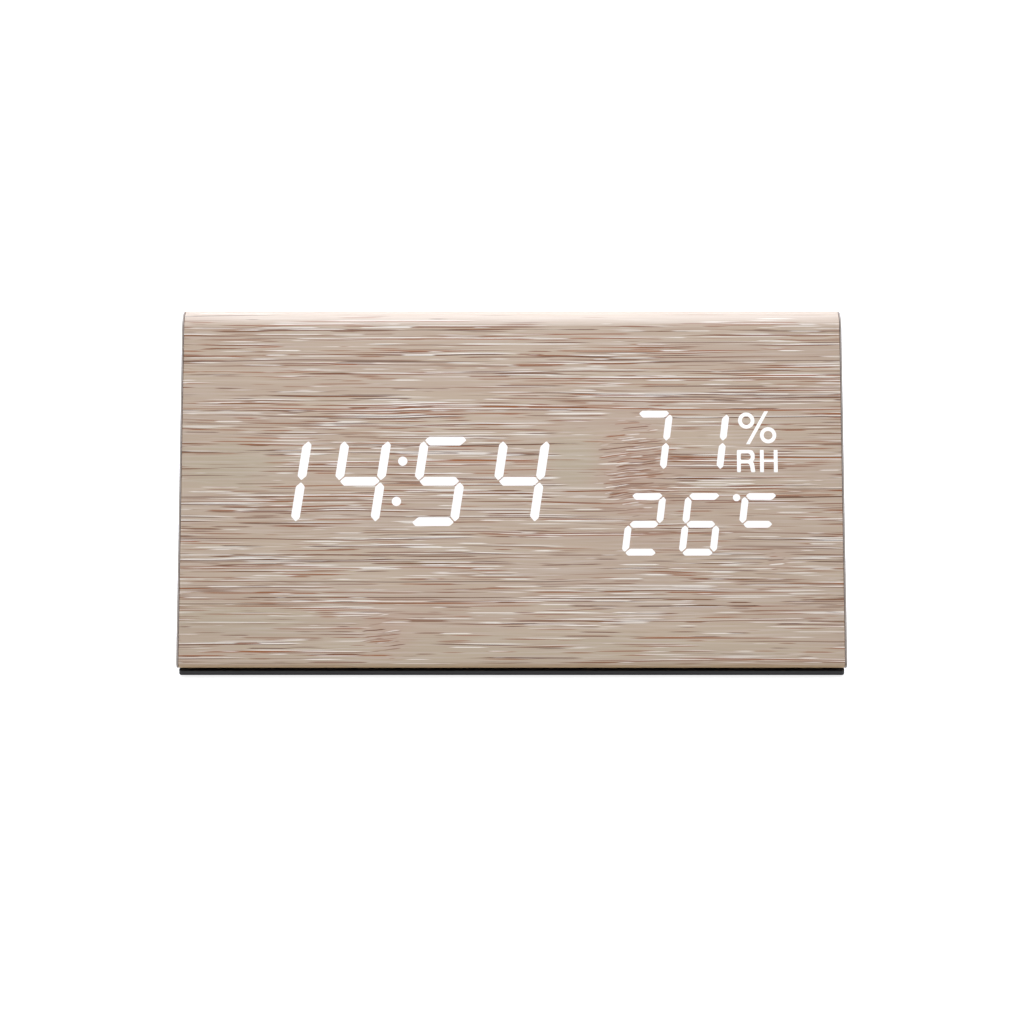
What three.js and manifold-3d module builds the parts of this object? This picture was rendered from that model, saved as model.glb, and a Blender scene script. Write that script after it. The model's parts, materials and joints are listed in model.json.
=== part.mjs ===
// Wooden digital alarm clock: a triangular veneered casing with a segment display behind its sloping face.
// Millimetres. +Z is up, the display faces -Y, and the origin lies under the middle of the clock.

import * as THREE from 'three';
import { mergeVertices } from 'three/addons/utils/BufferGeometryUtils.js';
import Module from 'manifold-3d';

const wasm = await Module();
wasm.setup();

// Casing outline
const clockWidth = 150;
const clockDepth = 75;
const clockHeight = 75;
const apexRadius = 4.6;
const cornerRadius = 1.5;

// Fits shared by the pieces
const fitGap = 0.3;
const seamGap = 0.1;
const solderGap = 0.3;
const overrun = 1;

// Veneer and boards
const wrapThickness = 0.6;
const wrapReturn = 5;
const endVeneerThickness = 0.4;
const boardThickness = 3;

// Feet and the base, whose edge is the dark line under the wood
const footHeight = 0.8;
const footDiameter = 9;
const footSetInAcross = 26;
const footSetInDeep = 10;
const flangeThickness = 1;
const flangeInset = 0.4;
const flangeCorner = 1;
const shadowGroove = 0.45;
const grooveDepth = 2;
const locatingRibHeight = 3;
const locatingRibThickness = 1.6;

// Glued corner blocks and the screws that hold the base to them
const blockLength = 12;
const blockDepth = 11;
const blockHeight = 7;
const blockScrewSetIn = 4.5;
const baseScrewDiameter = 2.9;
const baseScrewLength = 7.5;
const baseScrewHeadDiameter = 5.4;
const baseScrewHeadHeight = 1.4;
const screwClearance = 0.15;

// Sound and air slots in the floor of the base
const floorSlotCount = 5;
const floorSlotWidth = 1.6;
const floorSlotLength = 14;
const floorSlotPitch = 3.4;
const floorSlotPlace = 46;

// Battery cells, three side by side, ends left and right
const cellDiameter = 10.5;
const cellLength = 44.5;
const cellNubDiameter = 3.8;
const cellNubHeight = 1;
const cellEdge = 0.5;
const cellCount = 3;
const cellSpacing = 0.5;
const cellPlay = 0.3;
const contactSpace = 4;
const bayWall = 1.5;
const bayLedge = 1;

// Battery door
const doorRecess = 0.2;
const doorThickness = 1.2;
const doorCorner = 0.8;
const doorTabWidth = 8;
const doorTabReach = 2;
const doorTabThickness = 1.1;
const doorTabRoot = 1.2;
const doorTabPlace = 16;
const doorLipThickness = 0.7;
const doorTabSwing = 3.4;
const doorRibWidth = 1;
const doorRibHeight = 1.6;
const doorLatchWidth = 7;
const doorLatchThickness = 0.8;
const doorLatchHeight = 1.7;
const doorLatchSetIn = 1.2;
const doorGripCount = 4;
const doorGripWidth = 0.7;
const doorGripLength = 12;
const doorGripPitch = 1.6;
const doorGripDepth = 0.35;
const fingerRecessWidth = 14;
const fingerRecessReach = 5;
const fingerRecessDepth = 1.1;

// Battery contacts, sprung at each negative end
const contactThickness = 0.4;
const contactWidth = 8;
const contactHeight = 8.4;
const contactDomeDiameter = 4.6;
const contactTabWidth = 2.6;
const contactTabRise = 2.4;
const springWire = 0.6;
const springRootDiameter = 7.2;
const springTipDiameter = 4.4;
const springTurns = 2.5;
const springStepsPerTurn = 8;
const springSides = 5;

// Display stack behind the face, from the front: frame, light guide, circuit board
const frameDepth = 4.5;
const frameMargin = 1.5;
const frameFlangeReach = 3;
const frameFlangeThickness = 1.2;
const frameBossDiameter = 4.6;
const frameBossSetIn = 3;
const guideSheetThickness = 0.8;
const guideSheetMargin = 0.8;
const unlitRecess = 0.3;
const markRecessDepth = 0.8;
const wellClearance = 0.15;
const chipLength = 1.8;
const chipWidth = 1;
const chipHeight = 0.8;
const circuitThickness = 1.6;

// Time digits: the place is the middle of the last digit's cross bar, across and up the face.
// What lies across the face is a share of the clock's width, so that the display fits any width
const timeDigitHeight = 18.3;
const timeBarWidth = 2;
const timePitchShare = 0.1195;
const timeDigitWidthShare = 0.524;
const timePlaceShare = 0.0107;
const timePlaceUp = 40.5;
const timeLeanShare = 0.15;
const colonDiameter = 2.1;

// Small digits: humidity above, temperature below, each placed by its first digit's cross bar
const smallDigitHeight = 12.6;
const smallBarWidth = 1.55;
const smallPitchShare = 0.0853;
const smallDigitWidthShare = 0.543;
const smallLeanShare = 0.133;
const smallRowGap = 6.18;
const smallRowsDrop = 0.36;
const humidityPlaceShare = 0.2093;
const temperaturePlaceShare = 0.1981;

// Gap at the mitres of neighbouring bars, and how far a corner tip stands off the bar's middle line
const barMitreGap = 0.62;
const cornerTipShare = 0.2;

// Unit marks on the right: degree dot, per cent sign and the letters for relative humidity
const degreeDiameter = 1.65;
const degreeSetOff = 4.68;
const degreeSetDown = 0.32;
const ringDiameter = 3.6;
const ringBore = 1.9;
const percentPlaceShare = 0.3705;
const percentSetDown = 3.23;
const ringOffsetAcross = 2.51;
const ringOffsetUp = 1.7;
const slashWidth = 0.8;
const slashReachAcross = 2.1;
const slashReachUp = 3.78;
const letterHeight = 5.1;
const letterStroke = 0.95;
const letterDrop = 0.73;
const letterRPlaceShare = 0.3427;
const letterRWidth = 3.15;
const letterHSetOff = 5.2;
const letterHWidth = 3.05;

// Rear control panel, seen from behind: x to the right, y up the rear face
const panelWidth = 78;
const panelHeight = 15;
const panelCorner = 2;
const panelRecess = 0.4;
const panelPlate = 1.6;
const panelWall = 1.4;
const panelFlangeReach = 3;
const panelFlangeThickness = 1.2;
const panelPostDiameter = 4.6;
const panelPostSetIn = 3.5;

// Push buttons and the switches behind them
const buttonNames = ['set', 'up', 'down'];
const buttonPlaceShare = -0.333;
const buttonPitchShare = 0.141;
const buttonDiameter = 6;
const buttonProud = 0.6;
const buttonEdge = 0.5;
const buttonFlangeDiameter = 7.6;
const buttonFlangeThickness = 1;
const buttonTravel = 0.5;
const plungerDiameter = 3.4;
const plungerLength = 2.8;
const switchWidth = 6;
const switchHeight = 3.4;
const switchCorner = 0.6;
const switchBoreDepth = 1.8;

// Openings in the panel, and what sits behind them on the main board
const ventPlaceShare = 0.185;
const ventCount = 5;
const ventWidth = 1.2;
const ventLength = 7;
const ventPitch = 2.4;
const microphonePlaceShare = 0.077;
const microphoneDiameter = 5;
const microphoneHeight = 2.4;
const microphoneHole = 1.6;
const sensorWidth = 5;
const sensorLength = 4;
const sensorHeight = 1.4;
const sensorWindow = 2;
const sensorWindowDepth = 0.4;
const socketPlaceShare = 0.345;
const socketWidth = 7.6;
const socketThickness = 2.9;
const socketWall = 0.35;
const socketChamfer = 0.7;
const socketFloor = 1.2;
const socketRecess = 0.9;
const socketTongueWidth = 3.6;
const socketTongueThickness = 0.6;
const socketTongueSetIn = 0.8;

// Main board, behind the panel and above the battery bay
const mainBoardSetIn = 0.5;
const mainBoardHeight = 22;
const mainBoardRise = 1;
const mainBoardBayGap = 0.5;
const chipBodyWidth = 7;
const chipBodyHeight = 1.4;
const chipPlaceShare = -0.04;
const chipPlaceUp = 1;
const pinCount = 5;
const pinWidth = 0.5;
const pinPitch = 1.2;
const pinReach = 1;
const pinThickness = 0.25;
const crystalLength = 10.5;
const crystalWidth = 4.5;
const crystalHeight = 3.4;
const crystalPlaceShare = -0.23;
const crystalPlaceUp = 3;
const buzzerDiameter = 9;
const buzzerHeight = 5.5;
const buzzerHole = 2;
const buzzerPlaceShare = 0.285;
const buzzerPlaceUp = 4.5;

// Ribbon between the two boards, with a header at each end
const headerLength = 18;
const headerWidth = 4;
const headerHeight = 4.6;
const headerSetIn = 1;
const headerPlaceShare = 0.155;
const ribbonWidth = 14;
const ribbonThickness = 0.9;
const ribbonBend = 10;
const ribbonSteps = 10;

// Board screws, for both boards
const boardScrewDiameter = 2;
const boardScrewHeadDiameter = 3.8;
const boardScrewHeadHeight = 1.4;
const boardScrewReach = 3.2;
const boardScrewEnd = 0.4;

// Battery leads
const leadDiameter = 1.2;
const leadSides = 6;
const leadSteps = 10;
const leadBend = 6;
const leadPlaceUp = 2;

// Facets
const roundSides = 18;
const smallSides = 8;
const arcSegments = 2;
const sectionSegments = 5;

// Finishes
function finish(color, roughness, metalness) {
  return new THREE.MeshStandardMaterial({ color, roughness, metalness, flatShading: true });
}
const bamboo = finish('#c6b7a6', 0.6, 0);
const fibreboard = finish('#b08d63', 0.9, 0);
const blackPlastic = finish('#2c2926', 0.5, 0);
const blackRubber = finish('#1b1b1b', 0.9, 0);
const clearPlastic = finish('#f6f6f4', 0.3, 0);
const whiteBoard = finish('#e9ebe8', 0.5, 0);
const greenBoard = finish('#1f6b3f', 0.5, 0);
const chipBlack = finish('#202022', 0.5, 0);
const springSteel = finish('#c9cbcc', 0.3, 1);
const screwSteel = finish('#8f9296', 0.35, 1);
const cellJacket = finish('#3f6f9e', 0.4, 0.1);
const redLead = finish('#b3241c', 0.5, 0);
const blackLead = finish('#232323', 0.5, 0);
const greyRibbon = finish('#a9abad', 0.6, 0);
const switchMetal = finish('#bfc1c3', 0.35, 0.9);

// Solids

// Every form is kept as one closed mesh of positions, so that it can be joined and cut
function closed(geometry) {
  const plain = geometry.clone();
  plain.deleteAttribute('normal');
  plain.deleteAttribute('uv');
  const merged = mergeVertices(plain);
  const order = merged.index.array;
  const corners = [];
  for (let i = 0; i < order.length; i += 3) {
    const [a, b, c] = order.slice(i, i + 3);
    if (a !== b && b !== c && c !== a) corners.push(a, b, c);
  }
  merged.setIndex(corners);
  return merged;
}

function toSolid(geometry) {
  const vertProperties = new Float32Array(geometry.attributes.position.array);
  const triVerts = new Uint32Array(geometry.index.array);
  return new wasm.Manifold(new wasm.Mesh({ numProp: 3, vertProperties, triVerts }));
}

function fromSolid(solid) {
  const { vertProperties, triVerts } = solid.getMesh();
  const geometry = new THREE.BufferGeometry();
  geometry.setAttribute('position', new THREE.BufferAttribute(new Float32Array(vertProperties), 3));
  geometry.setIndex(Array.from(triVerts));
  return geometry;
}

function join(...forms) {
  return fromSolid(forms.map(toSolid).reduce((whole, next) => whole.add(next)));
}

function cut(form, ...tools) {
  if (tools.length === 0) return form;
  return fromSolid(toSolid(form).subtract(toSolid(join(...tools))));
}

function overlapOf(form, other) {
  return fromSolid(toSolid(form).intersect(toSolid(other)));
}

function moved(form, x, y, z) {
  return form.clone().translate(x, y, z);
}

// A box between two values on each axis
function box([x0, x1], [y0, y1], [z0, z1]) {
  const form = new THREE.BoxGeometry(x1 - x0, y1 - y0, z1 - z0);
  return closed(form.translate((x0 + x1) / 2, (y0 + y1) / 2, (z0 + z1) / 2));
}

// A round bar standing on z0
function rod(diameter, [z0, z1], x, y, sides) {
  const form = new THREE.CylinderGeometry(diameter / 2, diameter / 2, z1 - z0, sides);
  return closed(form.rotateX(Math.PI / 2).translate(x, y, (z0 + z1) / 2));
}

// An outline in x and y, carried up from z0 to z1
function slab(shape, [z0, z1], curveSegments = arcSegments) {
  const form = new THREE.ExtrudeGeometry(shape, { depth: z1 - z0, bevelEnabled: false, curveSegments });
  return closed(form.translate(0, 0, z0));
}

// An outline in depth and height, carried across the clock from x0 to x1
function beam(shape, [x0, x1]) {
  const turn = new THREE.Matrix4().set(0, 0, 1, 0, 1, 0, 0, 0, 0, 1, 0, 0, 0, 0, 0, 1);
  return slab(shape, [x0, x1], sectionSegments).applyMatrix4(turn);
}

// A profile of radius and height, turned round the Z axis
function turned(profile, sides) {
  const points = profile.map(([radius, height]) => new THREE.Vector2(radius, height));
  return closed(new THREE.LatheGeometry(points, sides).rotateX(Math.PI / 2));
}

function outline(points) {
  return new THREE.Shape(points.map(([x, y]) => new THREE.Vector2(x, y)));
}

function roundedRectangle([x0, x1], [y0, y1], radius) {
  const shape = new THREE.Shape();
  shape.moveTo(x0 + radius, y0);
  shape.lineTo(x1 - radius, y0);
  shape.absarc(x1 - radius, y0 + radius, radius, -Math.PI / 2, 0, false);
  shape.lineTo(x1, y1 - radius);
  shape.absarc(x1 - radius, y1 - radius, radius, 0, Math.PI / 2, false);
  shape.lineTo(x0 + radius, y1);
  shape.absarc(x0 + radius, y1 - radius, radius, Math.PI / 2, Math.PI, false);
  shape.lineTo(x0, y0 + radius);
  shape.absarc(x0 + radius, y0 + radius, radius, Math.PI, Math.PI * 3 / 2, false);
  return shape;
}

// A round section carried along a curve
function tube(curve, diameter, steps, sides) {
  const section = new THREE.Shape();
  for (let i = 0; i < sides; i += 1) {
    const angle = Math.PI * 2 * i / sides;
    const x = Math.cos(angle) * diameter / 2;
    const y = Math.sin(angle) * diameter / 2;
    if (i === 0) section.moveTo(x, y);
    else section.lineTo(x, y);
  }
  section.closePath();
  return closed(new THREE.ExtrudeGeometry(section, { steps, bevelEnabled: false, extrudePath: curve }));
}

function both(half) {
  return [-half, half];
}

// Levels, from the table up
const woodBottom = footHeight + flangeThickness + shadowGroove;
const flangeTop = footHeight + flangeThickness;
const floorTop = woodBottom + wrapThickness;
const boardOuter = wrapThickness + fitGap;
const boardInner = boardOuter + boardThickness;
const boardBottom = woodBottom + boardOuter;
const wrapReturnEdge = clockDepth / 2 - cornerRadius - wrapReturn;

// The casing's section is a line drawn round three circles: two at the lower corners, one at the apex
const cornerCentre = new THREE.Vector2(clockDepth / 2 - cornerRadius, woodBottom + cornerRadius);
const apexCentre = new THREE.Vector2(0, clockHeight - apexRadius);
const betweenCentres = apexCentre.clone().sub(cornerCentre);
const tangentTurn = Math.acos((cornerRadius - apexRadius) / betweenCentres.length());
const faceTilt = betweenCentres.angle() - tangentTurn;
const faceNormal = new THREE.Vector2(Math.cos(faceTilt), Math.sin(faceTilt));
const faceDistance = faceNormal.dot(cornerCentre) + cornerRadius;
const faceFoot = cornerCentre.clone().addScaledVector(faceNormal, cornerRadius);

// Depth of the sloping rear face at a height, set in from the surface
function slopeDepth(inset, height) {
  return (faceDistance - inset - faceNormal.y * height) / faceNormal.x;
}

// The section set in by an amount. With a floor given, its corners are sharp and stand on that floor
function section(inset, floor) {
  const shape = new THREE.Shape();
  const corner = cornerRadius - inset;
  const apex = apexRadius - inset;
  const rounded = floor === undefined && corner > 0;
  const bottom = floor ?? woodBottom + inset;
  const cornerDepth = slopeDepth(inset, bottom);
  if (rounded) {
    shape.moveTo(cornerCentre.x, cornerCentre.y - corner);
    shape.absarc(cornerCentre.x, cornerCentre.y, corner, -Math.PI / 2, faceTilt, false);
  } else {
    shape.moveTo(cornerDepth, bottom);
  }
  if (apex > 0) {
    shape.lineTo(apexCentre.x + faceNormal.x * apex, apexCentre.y + faceNormal.y * apex);
    shape.absarc(apexCentre.x, apexCentre.y, apex, faceTilt, Math.PI - faceTilt, false);
  } else {
    shape.lineTo(0, (faceDistance - inset) / faceNormal.y);
  }
  if (rounded) {
    shape.lineTo(-cornerCentre.x - faceNormal.x * corner, cornerCentre.y + faceNormal.y * corner);
    shape.absarc(-cornerCentre.x, cornerCentre.y, corner, Math.PI - faceTilt, Math.PI * 3 / 2, false);
  } else {
    shape.lineTo(-cornerDepth, bottom);
  }
  shape.closePath();
  return shape;
}

// Frames on the two sloping faces: x across, y up the slope from the lower edge, z out of the face
const clock = new THREE.Group();
const frontFace = new THREE.Group();
frontFace.position.set(0, -faceFoot.x, faceFoot.y);
frontFace.rotation.x = Math.PI / 2 - faceTilt;
const rearHalf = new THREE.Group();
rearHalf.rotation.z = Math.PI;
const rearFace = frontFace.clone();
rearHalf.add(rearFace);
clock.add(frontFace, rearHalf);
clock.updateMatrixWorld(true);

function onFront(form) {
  return form.clone().applyMatrix4(frontFace.matrixWorld);
}

function onRear(form) {
  return form.clone().applyMatrix4(rearFace.matrixWorld);
}

function add(parent, name, form, material) {
  const geometry = form.toNonIndexed();
  geometry.computeVertexNormals();
  const mesh = new THREE.Mesh(geometry, material);
  mesh.name = name;
  parent.add(mesh);
}

// Display marks

// Where each bar of a digit lies, as shares of the digit's width and height, and which way is outward
const barPlaceShares = {
  a: { middle: [0, 0.5], out: [0, 1], cornerEnds: [true, true] },
  b: { middle: [0.5, 0.25], out: [1, 0], cornerEnds: [false, true] },
  c: { middle: [0.5, -0.25], out: [1, 0], cornerEnds: [true, false] },
  d: { middle: [0, -0.5], out: [0, -1], cornerEnds: [true, true] },
  e: { middle: [-0.5, -0.25], out: [-1, 0], cornerEnds: [true, false] },
  f: { middle: [-0.5, 0.25], out: [-1, 0], cornerEnds: [false, true] },
  g: { middle: [0, 0], out: [0, 1], cornerEnds: [false, false] },
};
const litBars = { 1: 'bc', 2: 'abged', 4: 'fbgc', 5: 'afgcd', 6: 'afgecd', 7: 'abc', C: 'afg' };

// One bar of a digit: a hexagon whose tips lie on the mitre lines, then leant over with the digit
function barOutline(bar, grow) {
  const { style, place, middle, out, cornerEnds } = bar;
  const alongWidth = out[0] === 0;
  const length = alongWidth ? style.width : style.height / 2;
  const half = length / 2 + (grow * 2 - barMitreGap) / Math.SQRT2;
  const side = style.bar / 2 + grow;
  const sign = out[0] + out[1];
  const points = [];
  for (const end of [-1, 1]) {
    const tip = cornerEnds[end < 0 ? 0 : 1] ? cornerTipShare * style.bar : 0;
    const shoulders = [[half - side, -side], [half + tip, tip], [half + tip * 2 - side, side]];
    if (end < 0) shoulders.reverse();
    for (const [along, aside] of shoulders) points.push([along * end, aside * sign]);
  }
  return points.map(([along, aside]) => {
    const x = middle[0] * style.width + (alongWidth ? along : aside);
    const y = middle[1] * style.height + (alongWidth ? aside : along);
    return [place[0] + x + y * style.lean, place[1] + y];
  });
}

function digitBars(character, style, place) {
  const lit = litBars[character];
  const shown = Array.from(character === 'C' ? lit : 'abcdefg');
  return shown.map((bar) => ({ ...barPlaceShares[bar], style, place, lit: lit.includes(bar) }));
}

const timePitch = clockWidth * timePitchShare;
const smallPitch = clockWidth * smallPitchShare;
const timeStyle = {
  height: timeDigitHeight, width: timePitch * timeDigitWidthShare,
  bar: timeBarWidth, lean: timeLeanShare,
};
const smallStyle = {
  height: smallDigitHeight, width: smallPitch * smallDigitWidthShare,
  bar: smallBarWidth, lean: smallLeanShare,
};
const smallRowRise = (smallDigitHeight + smallRowGap) / 2;
const timePlaceAcross = clockWidth * timePlaceShare;
const humidityPlaceAcross = clockWidth * humidityPlaceShare;
const humidityPlaceUp = timePlaceUp - smallRowsDrop + smallRowRise;
const temperaturePlaceAcross = clockWidth * temperaturePlaceShare;
const temperaturePlaceUp = timePlaceUp - smallRowsDrop - smallRowRise;
const timeText = ['1', '4', '5', '4'];
const humidityText = ['7', '1'];
const temperatureText = ['2', '6', 'C'];

const bars = [
  ...timeText.flatMap((character, i) => digitBars(
    character, timeStyle, [timePlaceAcross - timePitch * (timeText.length - 1 - i), timePlaceUp])),
  ...humidityText.flatMap((character, i) => digitBars(
    character, smallStyle, [humidityPlaceAcross + smallPitch * i, humidityPlaceUp])),
  ...temperatureText.flatMap((character, i) => digitBars(
    character, smallStyle, [temperaturePlaceAcross + smallPitch * i, temperaturePlaceUp])),
];

const colonAcross = timePlaceAcross - timePitch * 3 / 2;
const colonRise = timeDigitHeight / 4;
const degreeAcross = temperaturePlaceAcross + smallPitch * (temperatureText.length - 1) - degreeSetOff;
const degreeUp = temperaturePlaceUp + smallDigitHeight / 2 - degreeSetDown;
const percentAcross = clockWidth * percentPlaceShare;
const percentUp = humidityPlaceUp + smallDigitHeight / 2 - percentSetDown;
const dots = [
  { x: colonAcross + colonRise * timeLeanShare, y: timePlaceUp + colonRise, diameter: colonDiameter },
  { x: colonAcross - colonRise * timeLeanShare, y: timePlaceUp - colonRise, diameter: colonDiameter },
  { x: degreeAcross, y: degreeUp, diameter: degreeDiameter },
  ...[-1, 1].map((side) => ({
    x: percentAcross + ringOffsetAcross * side, y: percentUp - ringOffsetUp * side,
    diameter: ringDiameter, bore: ringBore,
  })),
];

// Straight strokes with square ends: from, to and width
const letterBottom = humidityPlaceUp - smallDigitHeight / 2 - letterDrop;
const letterTop = letterBottom + letterHeight;
const letterWaist = letterBottom + letterHeight / 2;
const strokeHalf = letterStroke / 2;
const letterRAcross = clockWidth * letterRPlaceShare;
const letterRRight = letterRAcross + letterRWidth;
const letterHAcross = letterRAcross + letterHSetOff;
const letterHRight = letterHAcross + letterHWidth;
const rTop = letterTop - strokeHalf;
const strokes = [
  { from: [percentAcross - slashReachAcross, percentUp - slashReachUp],
    to: [percentAcross + slashReachAcross, percentUp + slashReachUp], width: slashWidth },
  { from: [letterRAcross, letterBottom], to: [letterRAcross, letterTop], width: letterStroke },
  { from: [letterRAcross, rTop], to: [letterRRight, rTop], width: letterStroke },
  { from: [letterRRight, letterTop - strokeHalf / 2], to: [letterRRight, letterWaist], width: letterStroke },
  { from: [letterRAcross, letterWaist], to: [letterRRight, letterWaist], width: letterStroke },
  { from: [letterRRight - letterStroke, letterWaist], to: [letterRRight, letterBottom], width: letterStroke },
  { from: [letterHAcross, letterBottom], to: [letterHAcross, letterTop], width: letterStroke },
  { from: [letterHRight, letterBottom], to: [letterHRight, letterTop], width: letterStroke },
  { from: [letterHAcross, letterWaist], to: [letterHRight, letterWaist], width: letterStroke },
];
const letterREye = { x: [letterRAcross, letterRRight], y: [letterWaist, rTop] };

function strokeOutline({ from, to, width }, grow) {
  const start = new THREE.Vector2(...from);
  const along = new THREE.Vector2(...to).sub(start);
  const length = along.length();
  along.normalize();
  const aside = new THREE.Vector2(-along.y, along.x);
  const corner = (distance, offset) => {
    const point = start.clone().addScaledVector(along, distance).addScaledVector(aside, offset);
    return [point.x, point.y];
  };
  const side = width / 2 + grow;
  const end = length + grow;
  return [corner(-grow, -side), corner(end, -side), corner(end, side), corner(-grow, side)];
}

// All marks, lit or not, as solids between two levels of the face, grown by a clearance
function markSolids(levels, grow, wanted) {
  const chosen = bars.filter((bar) => wanted === undefined || bar.lit === wanted);
  const solids = chosen.map((bar) => slab(outline(barOutline(bar, grow)), levels));
  if (wanted === false) return solids;
  for (const dot of dots) solids.push(rod(dot.diameter + grow * 2, levels, dot.x, dot.y, smallSides));
  for (const stroke of strokes) solids.push(slab(outline(strokeOutline(stroke, grow)), levels));
  solids.push(box(letterREye.x, letterREye.y, levels));
  return solids;
}

// How far all marks reach on the face, each way
const markReach = new THREE.Box2();
for (const bar of bars) {
  for (const [x, y] of barOutline(bar, wellClearance)) markReach.expandByPoint(new THREE.Vector2(x, y));
}
for (const dot of dots) {
  markReach.expandByPoint(new THREE.Vector2(dot.x + dot.diameter / 2, dot.y + dot.diameter / 2));
}
for (const stroke of strokes) {
  for (const [x, y] of strokeOutline(stroke, wellClearance)) markReach.expandByPoint(new THREE.Vector2(x, y));
}

function faceRectangle(margin) {
  const { min, max } = markReach;
  return [[min.x - margin, max.x + margin], [min.y - margin, max.y + margin]];
}

// Depths behind the face, as heights on its outward axis
const frameFront = -boardOuter;
const frameBack = frameFront - frameDepth;
const flangeFront = frameBack + frameFlangeThickness;
const guideFront = frameBack - fitGap;
const guideBack = guideFront - guideSheetThickness;
const chipFront = guideBack - fitGap;
const displayFront = chipFront - chipHeight;
const displayBack = displayFront - circuitThickness;
const moduleMargin = frameMargin + frameFlangeReach;
const moduleOutline = faceRectangle(moduleMargin);
const bossPlaces = moduleOutline[0].flatMap((x, i) => moduleOutline[1].map((y, j) => [
  x + (i === 0 ? frameBossSetIn : -frameBossSetIn),
  y + (j === 0 ? frameBossSetIn : -frameBossSetIn),
]));

// Battery bay, from the door up
const cellPitch = cellDiameter + cellSpacing;
const cradleRadius = cellDiameter / 2 + cellPlay;
const bayHalfDepth = cellPitch * (cellCount - 1) / 2 + cradleRadius;
const bayHalfLength = cellLength / 2 + contactSpace;
const doorOuter = footHeight + doorRecess;
const doorInner = doorOuter + doorThickness;
const cellAxis = doorInner + fitGap + cellDiameter / 2;
const cradleTop = cellAxis + cradleRadius;
const bayTop = cradleTop + bayWall;

// Depths behind the rear face, as heights on its outward axis
const plateFront = -panelRecess;
const plateBack = plateFront - panelPlate;
const panelFlangeFront = -boardInner - fitGap;
const panelFlangeBack = panelFlangeFront - panelFlangeThickness;
const capFlangeFront = plateBack - fitGap;
const capBack = capFlangeFront - buttonFlangeThickness;
const plungerFront = capBack - fitGap;
const plungerBack = plungerFront - plungerLength;
const switchFront = plungerBack - buttonTravel - fitGap + switchBoreDepth;
const switchBack = switchFront - switchHeight;
const mainFront = switchBack - solderGap;
const mainBack = mainFront - circuitThickness;
const partsFront = mainFront + solderGap;
const partsBack = mainBack - solderGap;

// The main board's lower edge stands just above the bay, and the panel follows the board
const mainBoardEdgeHeight = bayTop + mainBoardBayGap - mainBack * faceNormal.y;
const mainBoardEdgeUp = (mainBoardEdgeHeight - faceFoot.y) / faceNormal.x;
const mainBoardMiddle = mainBoardEdgeUp + mainBoardHeight / 2;
const mainBoardWidth = panelWidth - mainBoardSetIn * 2;
const panelPlaceUp = mainBoardMiddle - mainBoardRise;

// Panel window in the rear face
const panelAcross = both(panelWidth / 2);
const panelUp = [panelPlaceUp - panelHeight / 2, panelPlaceUp + panelHeight / 2];
const panelWindow = onRear(slab(roundedRectangle(
  panelAcross.map((x) => x + Math.sign(x) * fitGap),
  [panelUp[0] - fitGap, panelUp[1] + fitGap], panelCorner), [-boardInner - overrun, overrun]));

// Casing

function veneerWrap() {
  const across = both(clockWidth / 2 - endVeneerThickness - seamGap);
  const past = across.map((x) => x + Math.sign(x) * overrun);
  const underside = box(past, both(wrapReturnEdge), [woodBottom - overrun, floorTop + overrun]);
  const windows = markSolids([-wrapThickness - overrun, overrun], wellClearance, true).map(onFront);
  const sheet = cut(beam(section(0), across), beam(section(wrapThickness), past));
  return cut(sheet, underside, panelWindow, ...windows);
}

function endVeneer(side) {
  const outer = clockWidth / 2;
  const across = [outer - endVeneerThickness, outer].map((x) => x * side).sort((a, b) => a - b);
  return beam(section(0), across);
}

const boardEnd = clockWidth / 2 - endVeneerThickness - fitGap;
const endBoardFace = boardEnd - boardThickness;

function casingBoard(side, window) {
  const past = both(boardEnd + overrun);
  const ring = cut(beam(section(boardOuter), both(boardEnd)),
    beam(section(boardInner, boardBottom - overrun), past), window);
  const half = [fitGap / 2, clockDepth].map((y) => y * side).sort((a, b) => a - b);
  return overlapOf(ring, box(past, half, [0, clockHeight]));
}

function endBoard(side) {
  const across = [endBoardFace, boardEnd].map((x) => x * side).sort((a, b) => a - b);
  return beam(section(boardInner + fitGap, boardBottom), across);
}

// Corner blocks

const blockOuterX = endBoardFace - fitGap;
const blockX = blockOuterX - blockLength / 2;
const blockOuterDepth = slopeDepth(boardInner + fitGap, boardBottom);
const blockInnerDepth = blockOuterDepth - blockDepth;
const screwDepth = blockInnerDepth + blockScrewSetIn;
const baseScrewTip = footHeight + baseScrewLength;

function cornerBlock(sideX, sideY) {
  const top = boardBottom + blockHeight;
  const shape = outline([
    [blockInnerDepth, boardBottom],
    [blockOuterDepth, boardBottom],
    [slopeDepth(boardInner + fitGap, top), top],
    [blockInnerDepth, top],
  ].map(([y, z]) => [y * sideY, z]));
  const across = [blockOuterX - blockLength, blockOuterX].map((x) => x * sideX).sort((a, b) => a - b);
  const bore = rod(baseScrewDiameter + screwClearance * 2, [boardBottom - overrun, baseScrewTip + fitGap],
    blockX * sideX, screwDepth * sideY, smallSides);
  return cut(beam(shape, across), bore);
}

// A countersunk screw, its head flush with the underside of the base
function baseScrew(sideX, sideY) {
  const head = baseScrewHeadDiameter / 2;
  const shank = baseScrewDiameter / 2;
  const point = baseScrewTip - shank;
  const profile = [
    [0, footHeight], [head, footHeight], [shank, footHeight + baseScrewHeadHeight],
    [shank, point], [0, baseScrewTip],
  ];
  return moved(turned(profile, smallSides), blockX * sideX, screwDepth * sideY, 0);
}

// Base

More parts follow.
